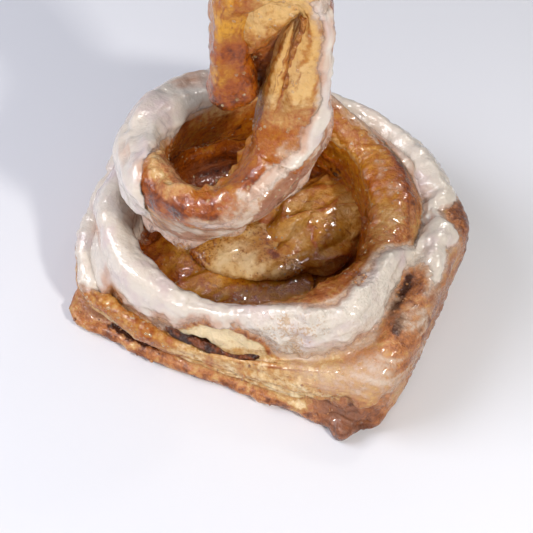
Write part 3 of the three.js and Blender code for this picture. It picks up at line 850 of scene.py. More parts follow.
def makeFloorLayer(name, seed):
    layer = floorLayers[name]
    around, down = ballGrid(160, 60)
    power = layer["power"]
    reach = (np.abs(np.cos(around)) ** power + np.abs(np.sin(around)) ** power) ** (-1 / power)
    flat = np.sin(down) ** layer["edge"] * reach
    x = layer["half"][0] * flat * np.cos(around)
    y = layer["half"][1] * flat * np.sin(around)
    z = layer["half"][2] * np.sign(np.cos(down)) * np.abs(np.cos(down)) ** 0.9 + 0 * around
    points = np.stack([x, y, z], axis=-1)
    turn = Matrix.Rotation(math.radians(layer["turn"]), 3, "Z")
    tilt = Matrix.Rotation(math.radians(layer["tilt"]), 3, "X")
    centre = np.array(rollShape["hollowCentre"]) + layer["place"]
    points = points @ np.array(turn @ tilt).T + centre
    normals = gridNormals(points, False, True)
    normals = normals * np.sign(np.sum(normals * (points - centre), axis=-1, keepdims=True))
    folds = noise(points @ np.array(Matrix.Rotation(0.9, 3, "Z")) * (0.3, 1, 0.6), 6, 2, seed + 3)
    lumps = 0.8 * noise(points, 12, 3, seed) + 0.2 * noise(points, 4, 2, seed + 5)
    lumps = lumps + 0.12 * noise(points, 1.7, 2, seed + 7)
    points = points + normals * (lumps - layer["folds"] * np.abs(folds))[..., None]
    rough = noise(points, 8, 3, seed + 9)
    # painted shadow: the layers darken towards the left and back, under the coil
    shade = ease(points[..., 1] - points[..., 0], 6, 34)
    # painted shade: darker round each layer's rim, where it meets what lies below
    edge = ease(flat, 0.8, 1.0)
    smudge = (1 + 0.5 * rough) * sum(ridge(np.hypot(points[..., 0] - x, points[..., 1] - y), size)
                                     for x, y, size in layer["smudges"])
    golden = layer["golden"] + 0.38 * smudge + 0.16 * rough + 0.18 * edge + 0.35 * shade
    masks = {
        # painted shade along the fold creases
        "golden": golden + 0.3 * layer["folds"] / 3.4 * ridge(folds, 0.12),
        "syrup": layer["syrup"] + 0.2 * rough,
        "pink": 0,
        "goo": 0.12 * edge + 0.25 * rough,
        "specks": layer["specks"] + 0.3 * smudge + 0.2 * rough,
        "wet": 0.9,
        "glaze": 0,
        "streaks": layer["streaks"],
        "along": points[..., 0],
        "across": points[..., 1],
        "sugarBeads": 0.3 * ease(rough, -0.2, 0.8),
    }
    return gridMesh(name, points, False, True, masks)


coilDetail = {
    "shareSteps": 460,
    "turnSteps": 110,
    "lumpDepth": 0.8,
    "smallLumpDepth": 0.22,
    "grainDepth": 0.14,
}


def coilGrid(shares, turns, closed):
    points = coilSurface(shares, turns)
    normals = gridNormals(points, False, closed)
    centres = coilFrames(shares)["point"][:, None]
    outside = np.sum(normals * (points - centres), axis=-1).mean()
    share, turn = np.meshgrid(shares, turns, indexing="ij")
    return points, normals * np.sign(outside), share, turn


# Lines that run along the lifted coil: a share of its length, and a turn round its section.
coilLines = {
    "icingInner": [(0, 66), (0.047, 80), (0.088, 92), (0.14, 112), (0.247, 144), (0.292, 170), (0.34, 160),
                   (0.375, 139), (0.395, 110), (0.408, 80), (0.416, 40), (0.424, -60), (0.5, -300)],
    "crustTop": [(0.38, 150), (0.40, 100), (0.42, 82), (0.446, 91), (0.474, 134), (0.528, 192), (0.6, 200)],
    "streakTop": [(0.38, 20), (0.404, 37), (0.424, 28), (0.451, 43), (0.475, 62), (0.511, 101), (0.533, 107),
                  (0.573, 103), (0.609, 87), (0.634, 70), (0.68, 84), (0.73, 86), (0.8, 80)],
    "streakBottom": [(0.38, -30), (0.45, 0), (0.497, 53), (0.519, 80), (0.557, 81), (0.586, 49), (0.62, 20),
                     (0.68, 20), (0.8, 20)],
}


def coilLineAt(name, share):
    return np.interp(share, *zip(*coilLines[name]))


def coilMasks(points, share, turn):         # where the coil's dough is golden, soaked, iced and so on, and where shade is painted
    rough = noise(points, 7, 3, 31)
    fine = noise(points, 2.6, 3, 33)
    turn = wrapped(turn) + 8 * rough + 5 * fine
    pastCrust = turn - coilLineAt("crustTop", share)
    pastStreak = turn - coilLineAt("streakBottom", share)
    ribbon = ease(share, 0.56, 0.66) * (1 - ease(share, 0.8, 0.84))
    flap = ease(share, 0.8, 0.86)
    inner = ease(turn, 130, 175) * (1 - ribbon) * (1 - flap)
    tube = 1 - ease(share, 0.1, 0.2)
    crust = between(share, 0.385, 0.6, 0.015) * ease(turn, 10, 40) * (1 - ease(pastCrust, -25, 0))
    paleEdge = between(share, 0.36, 0.56, 0.02) * ridge(pastCrust - 8, 12)
    under = between(share, 0.40, 0.64, 0.03) * (1 - ease(pastStreak, -8, 6))
    smear = between(share, 0.385, 0.5, 0.012) * (1 - ease(turn, 10, 38))
    fold = ridge(turn - 118 - 260 * np.clip(share - 0.65, 0, 1), 6) * between(share, 0.62, 0.75, 0.01)
    fold = fold + 0.7 * ridge(turn - 96, 4) * between(share, 0.66, 0.75, 0.01)
    lines = ridge(turn - 74 + 160 * (share - 0.68), 5) * between(share, 0.6, 0.8, 0.02) * (0.6 + 0.6 * rough)
    lines = lines + ridge(turn - 160, 8) * between(share, 0.6, 0.78, 0.02) * 0.7
    golden = layered(0.5 + 0.12 * rough, [
        (0.42 + 0.1 * rough + 0.08 * fine, tube),
        (0.53 + 0.12 * rough + 0.08 * fine, crust),
    ])
    golden = layered(golden + 0.22 * ridge(turn - 60, 30) * between(share, 0.41, 0.53, 0.02), [
        (0.3 + 0.1 * fine, paleEdge),
        (-0.08 + 0.16 * fine, ribbon * between(turn, 55, 185, 12)),
        (0.5, between(share, 0.56, 0.63, 0.02) * between(turn, 70, 180, 12) * 0.8),     # the ribbon's foot
        (0.74, 0.8 * fold),
        (0.56, np.clip(lines, 0, 1)),
        (blend(0.2, 0.5, ease(share, 0.87, 0.93)) + 0.26 * rough + 0.12 * fine, flap),
        (0.64 + 0.2 * rough + 0.12 * fine, ease(share, 0.935, 0.97)),       # the flap's end
        (0.74, ridge(share - 0.905, 0.008) * ridge(turn - 93, 22)),
    ])
    # painted shade: the coil's inner face darkens lower down, inside the loop
    goo = 0.3 * inner * (1 + rough) * (1 - ease(points[..., 2], 45, 75))
    goo = goo + 0.45 * between(share, 0.9, 0.94, 0.01) * ease(turn, 115, 140)
    iced = (1 - ease(turn - coilLineAt("icingInner", share), -4, 12)) * (1 - ease(share, 0.39, 0.43))
    streak = between(share, 0.4, 0.8, 0.02) * ease(pastStreak, -14, 4)
    streak = streak * (1 - ease(turn - coilLineAt("streakTop", share), -6, 14))
    streaky = laidNoise(share * 40, turn / 40, 3, 35)
    glaze = 0.62 * iced + (0.6 + 0.4 * streaky) * streak * ease(share, 0.43, 0.47)
    glaze = glaze + (0.2 + 0.5 * streaky) * under + 0.25 * paleEdge + smear * (0.1 + 1.1 * streaky)
    beads = (0.6 * crust + 0.2 * ribbon + 0.2 * flap + 0.2 * inner) * ease(fine, -0.3, 0.8)
    return {
        "golden": golden,
        "syrup": 0.8 * inner + 0.6 * ribbon + flap + 1.3 * crust + 0.7 * tube,
        "pink": under * 1.2 + 0.5 * smear + 0.5 * ribbon * ease(turn, 160, 185),
        "goo": goo,
        "specks": 0.28 + 0.1 * rough,
        "wet": 0.7 + 0.15 * rough + 0.3 * np.maximum(ribbon, np.maximum(flap, crust)),
        "glaze": glaze,
        "streaks": 0.3 + 0.2 * ribbon + 0.15 * flap + 0.25 * inner - 0.3 * crust - 0.3 * tube,
        "along": 330 * share,
        "across": 0.17 * turn,
        "sugarBeads": beads,
    }


def wrapped(turn):      # a turn round the coil's section, from -100 up to 260
    return (turn + 100) % 360 - 100


def coilRelief(points, share, turn):        # millimetres out from the smooth surface
    turn = wrapped(turn)
    d = coilDetail
    relief = d["lumpDepth"] * noise(points, 10, 3, 3) + d["smallLumpDepth"] * noise(points, 3, 3, 4)
    relief += d["grainDepth"] * noise(points, 1.7, 2, 71)
    lip = between(share, 0.36, 0.56, 0.02) * ridge(turn - coilLineAt("crustTop", share) - 6, 9)
    relief += lip * (0.7 + 1.2 * noise(points, 2.8, 2, 41))
    crust = between(share, 0.385, 0.62, 0.02) * ease(turn, 0, 30) * (1 - ease(turn, 90, 130))
    relief += 0.3 * crust * laidNoise(share * 110, turn / 60, 3, 43)
    under = between(share, 0.40, 0.64, 0.03) * (1 - ease(turn - coilLineAt("streakBottom", share), -8, 6))
    relief += 0.5 * under * laidNoise(share * 30, turn / 9, 3, 44)
    ribbon = between(share, 0.6, 0.79, 0.02)
    relief -= 0.4 * ribbon * ridge(turn - 118 - 260 * np.clip(share - 0.65, 0, 1), 7)
    return relief + 0.35 * ribbon * laidNoise(share * 12, turn / 12, 3, 45)


def makeCoilDough():
    shares = np.linspace(0, 1, coilDetail["shareSteps"])
    turns = np.linspace(0, 360, coilDetail["turnSteps"], endpoint=False)
    points, normals, share, turn = coilGrid(shares, turns, closed=True)
    masks = coilMasks(points, share, turn)
    relief = coilRelief(points, share, turn)
    points = points + normals * relief[..., None]
    return gridMesh("coilDough", points, False, True, masks)


webDetail = {
    "middle": 119,
    "halfHeight": 25,
    "halfWidth": 10.5,
    "halfDepth": 4.5,
    "pitTop": 126,
}


def makeRibbonWeb():        # what closes the gap between the ribbon and the flap, with the dark pit below
    s = coilShape
    d = webDetail
    front = np.array(s["front"])
    left = np.cross(front, (0, 0, 1))
    middle = np.array(s["ribbonTop"]) + left * s["archRadius"]
    middle[2] = d["middle"]
    around, down = ballGrid(110, 90)
    points = (middle + d["halfWidth"] * (np.sin(down) ** 0.6 * np.cos(around))[..., None] * left
              + d["halfDepth"] * (np.sin(down) ** 0.6 * np.sin(around))[..., None] * front
              + d["halfHeight"] * (np.cos(down) + 0 * around)[..., None] * np.array([0, 0, 1]))
    rough = noise(points, 5, 3, 40)
    height = points[..., 2] + 1.5 * rough
    across = (points - middle) @ left
    above = ease(height + 0.6 * across, d["pitTop"] - 8, d["pitTop"] + 5)
    bulb = ridge(np.hypot(across - 3.5, height - d["pitTop"] + 6), 4)
    ahead = ease((points - middle) @ front, -1, 1)
    push = blend(-4.5, blend(-2.5, 3.0, above) + 2.5 * bulb, ahead) + 0.5 * rough
    points = points + push[..., None] * front
    # below the pit's top the web is dark: goo colour and painted shade of the pit
    golden = blend(0.7 + 0.15 * rough, 0.12 + 0.16 * rough, above)
    masks = {
        "golden": blend(0.45 + 0.2 * rough, golden, ahead),
        "syrup": 0.6,
        "pink": ahead * (1 - above) * (0.5 - 0.06 * across),
        "goo": ahead * (1 - above) * (0.25 + 0.3 * rough - 0.3 * bulb),
        "specks": 0.2,
        "wet": 0.9,
        "glaze": 0,
        "streaks": 0.3,
        "along": points[..., 2],
        "across": points[..., 0],
        "sugarBeads": 0.12,
    }
    return gridMesh("ribbonWeb", points, False, True, masks)


fringeDetail = {        # thin icing that hangs from the coil between two shares of its length
    "lowerFringe": {"first": 0.36, "last": 0.5, "turn": -58, "length": 4.6, "lean": 0.25, "seed": 91},
    "sideFringe": {"first": 0.52, "last": 0.65, "turn": 18, "length": 3.2, "lean": 0.9, "seed": 95},
}
fringeSheet = {"alongSteps": 130, "downSteps": 16, "thickness": 0.55}


def makeFringe(name, first, last, turn, length, lean, seed):
    shares = np.linspace(first, last, fringeSheet["alongSteps"])
    rooted = coilSurface(shares, np.array([float(turn)]))[:, 0]
    f = coilFrames(shares)
    ends = ease(shares, first, first + 0.02) * (1 - ease(shares, last - 0.02, last))
    drips = 0.5 + 0.9 * noise(rooted, 8, 1, seed) + 0.25 * noise(rooted, 3.5, 1, seed + 1)
    reach = length * ends * np.clip(drips, 0.12, 1.5)
    hang = unit(lean * f["outward"] - (1 - 0.6 * lean) * np.array([0, 0, 1]))
    steps = fringeSheet["downSteps"]
    down = np.concatenate([np.linspace(-0.5, 1, steps), np.linspace(1, -0.5, steps)])    # root, tip, root
    side = np.repeat([1.0, -1.0], steps)
    thickness = fringeSheet["thickness"] * np.sqrt(np.clip(1.02 - np.clip(down, 0, 1) ** 2, 0, 1))
    across = unit(np.cross(hang, np.gradient(rooted, axis=0)))
    points = (rooted[:, None] + (down * reach[:, None])[..., None] * hang[:, None]
              + (side * thickness)[None, :, None] * across[:, None])
    points = points + (0.5 * noise(points, 4, 2, seed + 2) * np.clip(down, 0, 1))[..., None] * across[:, None]
    rough = noise(points, 3, 3, seed + 4)
    cover = 0.72 - 0.3 * np.clip(down, 0, 1) + 0.2 * rough
    masks = {"thin": 0.75 + 0.2 * rough, "specks": 0, "cover": cover}
    return gridMesh(name, points, False, True, masks)


icingDetail = {
    "angleSteps": 560,
    "topSteps": 70,
    "rootSteps": 10,
    "rootDepth": -2.0,
    "film": 0.16,
    "thickness": 1.9,
    "coilThickness": 1.4,
    "coilShares": (0.1, 0.8),
    "coilShareSteps": 300,
    "coilTurns": (-80, 175),
    "coilTopSteps": 64,
}


def icingLevel(points, insideEdge, reach, thickness):       # how far the top is off the dough, and its cover
    ragged = insideEdge + reach * (0.5 * noise(points, 7, 2, 51) + 0.3 * noise(points, 2.2, 2, 53))
    outside = icingDetail["rootDepth"] * ease(-ragged, 0.6 * reach, 1.5 * reach)
    level = outside + icingDetail["film"] + thickness * ease(ragged, 0.5 * reach, 2 * reach)
    return level, np.clip(ragged / reach, -1.5, 2)


def shellFrom(points, normals, level, rootColumns):     # a skin whose underside lies in the dough
    root = points[:, rootColumns] + normals[:, rootColumns] * (1.6 * icingDetail["rootDepth"])
    top = points + normals * level[..., None]
    return np.concatenate([top, root[:, ::-1]], axis=1)


def shellMask(values, rootColumns):
    return np.concatenate([values, values[:, rootColumns][:, ::-1]], axis=1)


def makeRollIcing():
    d = icingDetail
    angles = allRound(d["angleSteps"])[:, None]
    share = np.linspace(0, 1, d["topSteps"])[None]
    first = guideLength(lineAt("icingBottom", angles) - 1.1)
    last = guideLength(lineAt("icingTop", angles) + 1.1)
    guides = np.interp(blend(first, last, share), profileLength, guideTries)
    points, normals, angle, guide = rollGrid(angles[:, 0], guides)
    relief = rollRelief(points, angle, guide)
    insideEdge = icedEdge(angle, guide)
    rough = noise(points, 12, 3, 55)
    left = hump(angle, -160, 50)
    valley = hump(angle, -155, 45) + 0.25 * hump(angle, -80, 50)
    valley = valley * ridge(guide - lineAt("seamValley", angle), 0.55)
    flow = laidNoise(0.75 * angle / 24, guideLength(guide) / 3.5, 3, 59)
    grain = hump(angle, -48, 34) * between(guide, 5.5, 8.6, 0.6)
    thickness = d["thickness"] + 0.7 * rough + 0.6 * left + 0.25 * noise(points, 5, 2, 69) + 0.6 * flow
    thickness = thickness - 0.9 * hump(angle, 70, 50) - 0.5 * hump(angle, -80, 30) - 1.4 * valley
    thickness = thickness + 0.8 * hump(angle, 8, 34) * ridge(guide - 6.0, 0.7)
    thickness = thickness - 0.7 * hump(angle, 8, 12) * ease(guide, 6.2, 7.2)
    thickness = thickness + grain * (0.6 * noise(points, 2.2, 2, 65) - 0.4)
    level, cover = icingLevel(points, insideEdge, 0.5, np.maximum(thickness, 0.4))
    points = points + (normals * relief[..., None]) * (1 - 0.4 * ease(level, 0.6, 2))[..., None]
    thin = 0.5 * (1 - ease(level, 0.2, 1.3)) + valley + 0.35 * flow + 0.3 * hump(angle, 75, 45) + 0.15 * rough
    thin = thin + (0.5 + 0.4 * rough) * hump(angle, -22, 32) * ease(guide, 7.8, 8.8)
    thin = thin + 0.55 * noise(points, 9, 3, 63) * hump(angle, -110, 90)
    thin = thin + 0.2 * hump(angle, -72, 26) * ridge(guide - 8.2, 0.5)
    thin = thin + 0.5 * hump(angle, 52, 26) * ease(guide, 5.2, 6.6)
    grainy = hump(angle, -50, 32) * between(guide, 5.5, 8.4, 0.6) * (0.8 + 0.5 * noise(points, 5, 3, 57))
    grainy = grainy + 0.4 * hump(angle, -20, 22) * between(guide, 5.6, 8.8, 0.6)
    crumbs = hump(angle, -20, 5) * ridge(guide - 8.8, 0.5)
    rootColumns = np.linspace(0, d["topSteps"] - 1, d["rootSteps"]).astype(int)
    masks = {"thin": thin, "specks": grainy, "cover": cover, "crumbs": crumbs}
    masks = {key: shellMask(mask, rootColumns) for key, mask in masks.items()}
    masks["crumbs"][:, d["topSteps"]:] = 0
    return gridMesh("rollIcing", shellFrom(points, normals, level, rootColumns), True, True, masks)


def makeCoilIcing():
    d = icingDetail
    shares = np.linspace(*d["coilShares"], d["coilShareSteps"])
    turns = np.linspace(*d["coilTurns"], d["coilTopSteps"])
    points, normals, share, turn = coilGrid(shares, turns, closed=False)
    rough = noise(points, 11, 3, 61)
    lowerEdge = -58 + 900 * np.clip(share - 0.355, 0, 1)
    outer = np.minimum(turn - lowerEdge, coilLineAt("icingInner", share) - turn)
    streak = np.minimum(turn - coilLineAt("streakBottom", share), coilLineAt("streakTop", share) - turn)
    streak = np.minimum(streak, 900 * (share - 0.462)) + 5 * rough - 3
    ends = 420 * np.minimum(share - 0.17, 0.755 - share)
    insideEdge = np.minimum(np.maximum(outer, streak), ends)
    folds = laidNoise(share * 16, turn / 22, 2, 66)
    thickness = d["coilThickness"] + 0.2 * noise(points, 5, 2, 68) + 0.9 * folds + 0.3 * rough
    thickness = thickness - 0.5 * ease(share, 0.4, 0.45)
    level, cover = icingLevel(points, insideEdge, 11, thickness)
    relief = coilRelief(points, share, turn)
    points = points + (normals * relief[..., None]) * (1 - 0.6 * ease(level, 0.6, 2))[..., None]
    streaky = laidNoise(share * 30, turn / 16, 3, 67)
    thin = 0.4 * (1 - ease(level, 0.2, 1.2)) + 0.45 * streaky + 0.1 * rough + 0.35 * ease(share, 0.4, 0.45)
    thin = thin + 0.7 * ridge(turn - 60 - 300 * (share - 0.2), 14) * between(share, 0.16, 0.27, 0.02)
    rootColumns = np.linspace(0, len(turns) - 1, d["rootSteps"]).astype(int)
    masks = {"thin": shellMask(thin, rootColumns), "specks": 0, "cover": shellMask(cover, rootColumns)}
    return gridMesh("coilIcing", shellFrom(points, normals, level, rootColumns), False, True, masks)


fillingDetail = {
    "step": 0.5,
    "outlineSteps": 40,
    "lumpScale": 380,
    "lumpDepth": 1.1,
}

fillingStrips = {       # each runs from first to last, in degrees about the hollow or as shares of the coil
    "seamFilling": {"node": "filling_outer", "finish": "cinnamonFilling", "thickness": 3.2, "depth": 3,
                    "first": -112, "last": -58, "steps": 120},
    "innerFilling": {"node": "filling_inner", "finish": "cinnamonFilling", "thickness": 3.2, "depth": 12,
                     "first": -72, "last": 15, "steps": 160},
    "ribbonFilling": {"node": "filling_coil", "finish": "ribbonSyrup", "thickness": 1.9, "depth": 1.8,
                      "first": 0.645, "last": 0.73, "steps": 40},
}


def fillingTree():      # a lumpy strip along a path
    tree = bpy.data.node_groups.new("fillingStrip", "GeometryNodeTree")
    sockets = tree.interface
    sockets.new_socket("Geometry", in_out="INPUT", socket_type="NodeSocketGeometry")
    for label in ("Thickness", "Depth", "Lump scale", "Lump depth"):
        sockets.new_socket(label, in_out="INPUT", socket_type="NodeSocketFloat")
    sockets.new_socket("Material", in_out="INPUT", socket_type="NodeSocketMaterial")
    sockets.new_socket("Geometry", in_out="OUTPUT", socket_type="NodeSocketGeometry")
    given = tree.nodes.new("NodeGroupInput")
    wire = {socket.name: Wire(tree, socket) for socket in given.outputs}
    path = addNode(tree, "GeometryNodeMeshToCurve", {}, {"Mesh": wire["Geometry"]})
    path = addNode(tree, "GeometryNodeResampleCurve", {"mode": "LENGTH"},
                   {"Curve": path, "Length": fillingDetail["step"] * millimetre})
    path = addNode(tree, "GeometryNodeSetCurveNormal", {"mode": "Z_UP"}, {"Curve": path})
    outline = addNode(tree, "GeometryNodeCurvePrimitiveCircle", {},
                      {"Resolution": fillingDetail["outlineSteps"], "Radius": 0.5})
    sizes = addNode(tree, "ShaderNodeCombineXYZ", {}, {"X": wire["Thickness"], "Y": wire["Depth"], "Z": 1.0})
    outline = addNode(tree, "GeometryNodeTransform", {}, {"Geometry": outline, "Scale": sizes})
    strip = addNode(tree, "GeometryNodeCurveToMesh", {}, {"Curve": path, "Profile Curve": outline,
                                                          "Fill Caps": True})
    place = addNode(tree, "GeometryNodeInputPosition")
    lumps = noiseOf(tree, place, wire["Lump scale"], 3)
    normal = addNode(tree, "GeometryNodeInputNormal")
    push = addNode(tree, "ShaderNodeVectorMath", {"operation": "SCALE"},
                   {0: normal, "Scale": (lumps - 0.5) * wire["Lump depth"]})
    strip = addNode(tree, "GeometryNodeSetPosition", {}, {"Geometry": strip, "Offset": push})
    strip = addNode(tree, "GeometryNodeSetShadeSmooth", {}, {"Geometry": strip})
    strip = addNode(tree, "GeometryNodeRealizeInstances", {}, {"Geometry": strip})
    strip = addNode(tree, "GeometryNodeSetMaterial", {}, {"Geometry": strip, "Material": wire["Material"]})
    addNode(tree, "NodeGroupOutput", {}, {0: strip})
    return tree


def inputNames(tree):
    return {item.name: item.identifier for item in tree.interface.items_tree if item.in_out == "INPUT"}


def grown(tree, seed, name, values):        # runs a tree on a seed mesh and keeps what it makes
    modifier = seed.modifiers.new("grow", "NODES")
    modifier.node_group = tree
    identifiers = inputNames(tree)
    for label, value in values.items():
        modifier[identifiers[label]] = value
    evaluated = seed.evaluated_get(bpy.context.evaluated_depsgraph_get())
    mesh = bpy.data.meshes.new_from_object(evaluated)
    seed.modifiers.remove(modifier)
    bpy.data.objects.remove(seed)
    piece = bpy.data.objects.new(name, mesh)
    bpy.context.scene.collection.objects.link(piece)
    return piece


def pathMesh(name, points):
    mesh = bpy.data.meshes.new(name)
    count = len(points)
    edges = [(index, index + 1) for index in range(count - 1)]
    mesh.from_pydata([tuple(point * millimetre) for point in points], edges, [])
    seed = bpy.data.objects.new(name, mesh)
    bpy.context.scene.collection.objects.link(seed)
    return seed


def seamPath(angles):           # the dark line along the front, under the torn patch
    guides = lineAt("stripTop", angles) + 0.12
    points = rollSurface(angles, guides[:, None])[:, 0]
    inward = unit(np.array(rollShape["hollowCentre"]) - points * (1, 1, 0))
    sunk = 1 - between(angles, angles[0] + 8, angles[-1] - 4, 7)
    return points + inward * (0.4 + 4 * sunk)[:, None]


def wallPath(angles):           # along the hollow's front wall, low down
    return rollSurface(angles, np.array([12.6]))[:, 0]


def ribbonPath(shares):         # between the ribbon's two layers
    return coilSurface(shares, np.array([113.0]))[:, 0]


fillingPaths = {"seamFilling": seamPath, "innerFilling": wallPath, "ribbonFilling": ribbonPath}


def makeFilling(name, tree, material):
    d = fillingDetail
    strip = fillingStrips[name]
    points = fillingPaths[name](np.linspace(strip["first"], strip["last"], strip["steps"]))
    values = {"Thickness": strip["thickness"] * millimetre, "Depth": strip["depth"] * millimetre,
              "Lump scale": d["lumpScale"], "Lump depth": d["lumpDepth"] * millimetre, "Material": material}
    return grown(tree, pathMesh(name, points), name, values)


grainKinds = {
    "sugarBeads": {"seed": 4, "density": 420000, "size": 0.62, "flatness": 0.3, "lumpiness": 0.25,
                   "tilt": 0.3, "surfaces": ("rollDough", *floorLayers, "coilDough", "ribbonWeb")},
    "crumbs": {"seed": 7, "density": 600000, "size": 0.62, "flatness": 0.7, "lumpiness": 1.6,
               "tilt": 3.1, "surfaces": ("rollDough", "rollIcing")},
}

grainFinish = {
    "sugarBeads": {"name": "wetSugar", "shades": ("f4dcae", "dca660"), "roughness": 0.06, "cover": 0.4},
    "crumbs": {"name": "goldenCrumb", "shades": ("b87a38", "6e3614"), "roughness": 0.45, "cover": 1.0},
}


def grainTree(kind):        # grains scattered over the surfaces, as dense as their mask says
    tree = bpy.data.node_groups.new(kind, "GeometryNodeTree")
    sockets = tree.interface
    sockets.new_socket("Geometry", in_out="INPUT", socket_type="NodeSocketGeometry")
    surfaces = grainKinds[kind]["surfaces"]
    for label in surfaces:
        sockets.new_socket(label, in_out="INPUT", socket_type="NodeSocketObject")
    sockets.new_socket("Mask", in_out="INPUT", socket_type="NodeSocketString")
    for label in ("Density", "Size", "Flatness", "Lumpiness", "Tilt"):
        sockets.new_socket(label, in_out="INPUT", socket_type="NodeSocketFloat")
    sockets.new_socket("Seed", in_out="INPUT", socket_type="NodeSocketInt")
    sockets.new_socket("Material", in_out="INPUT", socket_type="NodeSocketMaterial")
    sockets.new_socket("Geometry", in_out="OUTPUT", socket_type="NodeSocketGeometry")
    given = tree.nodes.new("NodeGroupInput")
    wire = {socket.name: Wire(tree, socket) for socket in given.outputs}
    joined = tree.nodes.new("GeometryNodeJoinGeometry")
    for label in surfaces:
        surface = addNode(tree, "GeometryNodeObjectInfo", {}, {"Object": wire[label]}, output="Geometry")
        tree.links.new(surface.socket, joined.inputs[0])
    joined = Wire(tree, joined.outputs[0])
    mask = addNode(tree, "GeometryNodeInputNamedAttribute", {"data_type": "FLOAT"}, {"Name": wire["Mask"]})
    spots = addNode(tree, "GeometryNodeDistributePointsOnFaces", {"distribute_method": "RANDOM"},
                    {"Mesh": joined, "Density": mask * wire["Density"], "Seed": wire["Seed"]})
    grain = addNode(tree, "GeometryNodeMeshIcoSphere", {}, {"Radius": 1.0, "Subdivisions": 2})
    place = addNode(tree, "GeometryNodeInputPosition")
    lumps = noiseOf(tree, place, 1.3, 2) - 0.5
    outward = addNode(tree, "ShaderNodeVectorMath", {"operation": "SCALE"},
                      {0: place, "Scale": lumps * wire["Lumpiness"]})
    grain = addNode(tree, "GeometryNodeSetPosition", {}, {"Geometry": grain, "Offset": outward})
    tilt = addNode(tree, "FunctionNodeRandomValue", {"data_type": "FLOAT_VECTOR"},
                   {0: (-1, -1, -3), 1: (1, 1, 3), "Seed": 3})
    tilt = addNode(tree, "ShaderNodeVectorMath", {"operation": "SCALE"}, {0: tilt, "Scale": wire["Tilt"]})
    flat = Wire(tree, spots.socket.node.outputs["Rotation"])
    turn = addNode(tree, "FunctionNodeRotateRotation", {"rotation_space": "LOCAL"},
                   {"Rotation": flat, "Rotate By": tilt})
    share = addNode(tree, "FunctionNodeRandomValue", {"data_type": "FLOAT"},
                    {2: 0.4, 3: 1.0, "Seed": 5}, output=1)
    size = share * wire["Size"]
    scale = addNode(tree, "ShaderNodeCombineXYZ", {}, {0: size, 1: size, 2: size * wire["Flatness"]})
    grains = addNode(tree, "GeometryNodeInstanceOnPoints", {},
                     {"Points": spots, "Instance": grain, "Rotation": turn, "Scale": scale})
    grains = addNode(tree, "GeometryNodeRealizeInstances", {}, {"Geometry": grains})
    grains = addNode(tree, "GeometryNodeSetShadeSmooth", {}, {"Geometry": grains})
    grains = addNode(tree, "GeometryNodeSetMaterial", {}, {"Geometry": grains, "Material": wire["Material"]})
    addNode(tree, "NodeGroupOutput", {}, {0: grains})
    return tree


def makeGrains(kind, material):
    given = grainKinds[kind]
    values = {"Mask": kind, "Density": float(given["density"]), "Size": given["size"] * millimetre,
              "Flatness": given["flatness"], "Lumpiness": given["lumpiness"], "Tilt": given["tilt"],
              "Seed": given["seed"], "Material": material}
    values.update({label: bpy.data.objects[label] for label in given["surfaces"]})
    base = bpy.data.objects.new(kind, bpy.data.meshes.new(kind))
    bpy.context.scene.collection.objects.link(base)
    return grown(grainTree(kind), base, kind, values)


def grainMaterial(name, shades, roughness, cover):
    material, tree, place = newMaterial(name)
    tint = noiseOf(tree, place, 400, 2)
    base = mixColours(tree, tint.stepped(0.35, 0.65), *shades)
    finishMaterial(tree, {"Base Color": base, "Roughness": roughness, "Alpha": cover,
                          "Specular IOR Level": 0.8, "Coat Weight": 1.0, "Coat Roughness": 0.04})
    return material


bakedDough = doughMaterial()
wetIcing = icingMaterial()
fillings = {name: fillingMaterial(name, *shades) for name, shades in fillingFinish.items()}
fillingStrip = fillingTree()


def addPiece(piece, material, node=None):
    if not piece.data.materials:
        piece.data.materials.append(material)
    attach(piece, "root")
    if node:
        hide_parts(node)
    print("made", piece.name, len(piece.data.polygons))
    return piece


addPiece(makeRollDough(), bakedDough, "dough")
for index, layerName in enumerate(floorLayers):
    addPiece(makeFloorLayer(layerName, 70 + 20 * index), bakedDough)
addPiece(makeCoilDough(), bakedDough)
addPiece(makeRibbonWeb(), bakedDough)
for name, fringe in fringeDetail.items():
    addPiece(makeFringe(name, **fringe), wetIcing)
addPiece(makeRollIcing(), wetIcing, "icing_roll")
addPiece(makeCoilIcing(), wetIcing, "icing_coil")
for name, strip in fillingStrips.items():
    finish = fillings[strip["finish"]]
    addPiece(makeFilling(name, fillingStrip, finish), finish, strip["node"])
for kind, finish in grainFinish.items():
    grain = grainMaterial(**finish)
    addPiece(makeGrains(kind, grain), grain)


cameraView = {
    "place": (107.5, -258.9, 378.1),
    "along": (-0.2333, 0.5486, -0.8028),
    "roll": 0.99,
    "focal": 1400,      # in pixels of a picture with this side
    "side": 533,
    "sensor": 36,
}


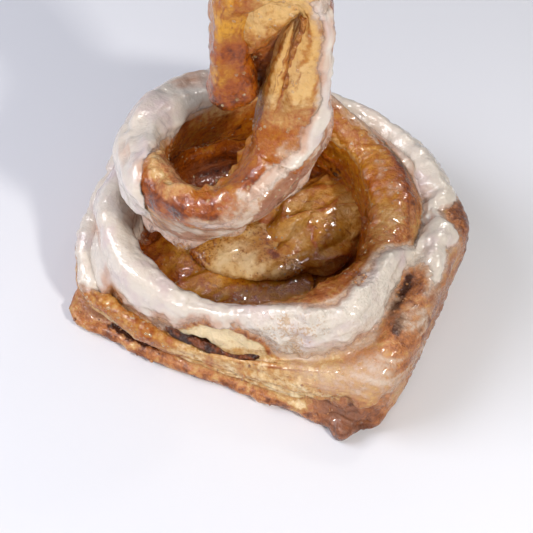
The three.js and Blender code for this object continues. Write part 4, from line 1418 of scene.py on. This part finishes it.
def makeCamera():
    v = cameraView
    data = bpy.data.cameras.new("camera")
    data.sensor_width = v["sensor"]
    data.lens = v["sensor"] * v["focal"] / v["side"]
    camera = bpy.data.objects.new("camera", data)
    bpy.context.scene.collection.objects.link(camera)
    along = Vector(v["along"]).normalized()
    right = along.cross((0, 0, 1)).normalized()
    up = right.cross(along)
    turn = Matrix((right, up, -along)).transposed()
    turn = turn @ Matrix.Rotation(math.radians(v["roll"]), 3, "Z")
    camera.matrix_world = Matrix.Translation(Vector(v["place"]) * millimetre) @ turn.to_4x4()
    bpy.context.scene.camera = camera


lamps = {       # place and size in metres; a glint lamp lights what shines and nothing else
    "window": {"place": (0.44, -0.27, 0.48), "size": 0.06, "power": 2.6, "shade": "fffaf2"},
    "softBox": {"place": (-0.45, -0.25, 0.55), "size": 0.4, "power": 3.8, "shade": "f4f3fc"},
    "leftGlint": {"place": (-0.3, -0.3, 0.65), "size": 0.05, "power": 3.2, "shade": "fffaf4"},
    "topGlint": {"place": (0.15, 0.35, 0.65), "size": 0.05, "power": 3.2, "shade": "fffaf4"},
    "frontFill": {"place": (0.1, -0.6, 0.35), "size": 0.3, "power": 0.4, "shade": "fff8f0"},
}
glintLamps = ("leftGlint", "topGlint")


def makeLamp(name, place, size, power, shade):
    data = bpy.data.lights.new(name, "AREA")
    data.size = size
    data.energy = power
    data.color = colour(shade)[:3]
    lamp = bpy.data.objects.new(name, data)
    lamp.location = place
    aim = Vector((0, 0, 0.05)) - Vector(place)      # at the middle of the roll
    lamp.rotation_euler = aim.to_track_quat("-Z", "Y").to_euler()
    lamp.visible_diffuse = name not in glintLamps
    bpy.context.scene.collection.objects.link(lamp)


stageFinish = {
    "floorSize": 3,
    "floor": "e6e8ee",
    "roughness": 0.5,
    "sky": "eef0f5",
    "skyStrength": 0.29,
}


def makeStage():
    bpy.ops.mesh.primitive_plane_add(size=stageFinish["floorSize"], location=(0, 0, 0))
    floor = bpy.context.object
    floor.name = "floor"
    material, tree, place = newMaterial("paleFloor")
    finishMaterial(tree, {"Base Color": colour(stageFinish["floor"]), "Roughness": stageFinish["roughness"]})
    floor.data.materials.append(material)
    world = bpy.data.worlds.new("studio")
    world.use_nodes = True
    background = world.node_tree.nodes["Background"]
    background.inputs["Color"].default_value = colour(stageFinish["sky"])
    background.inputs["Strength"].default_value = stageFinish["skyStrength"]
    bpy.context.scene.world = world


makeCamera()
for name, lamp in lamps.items():
    makeLamp(name, **lamp)
makeStage()
print("set the camera, lamps and floor")
bpy.context.scene.view_settings.view_transform = "Standard"
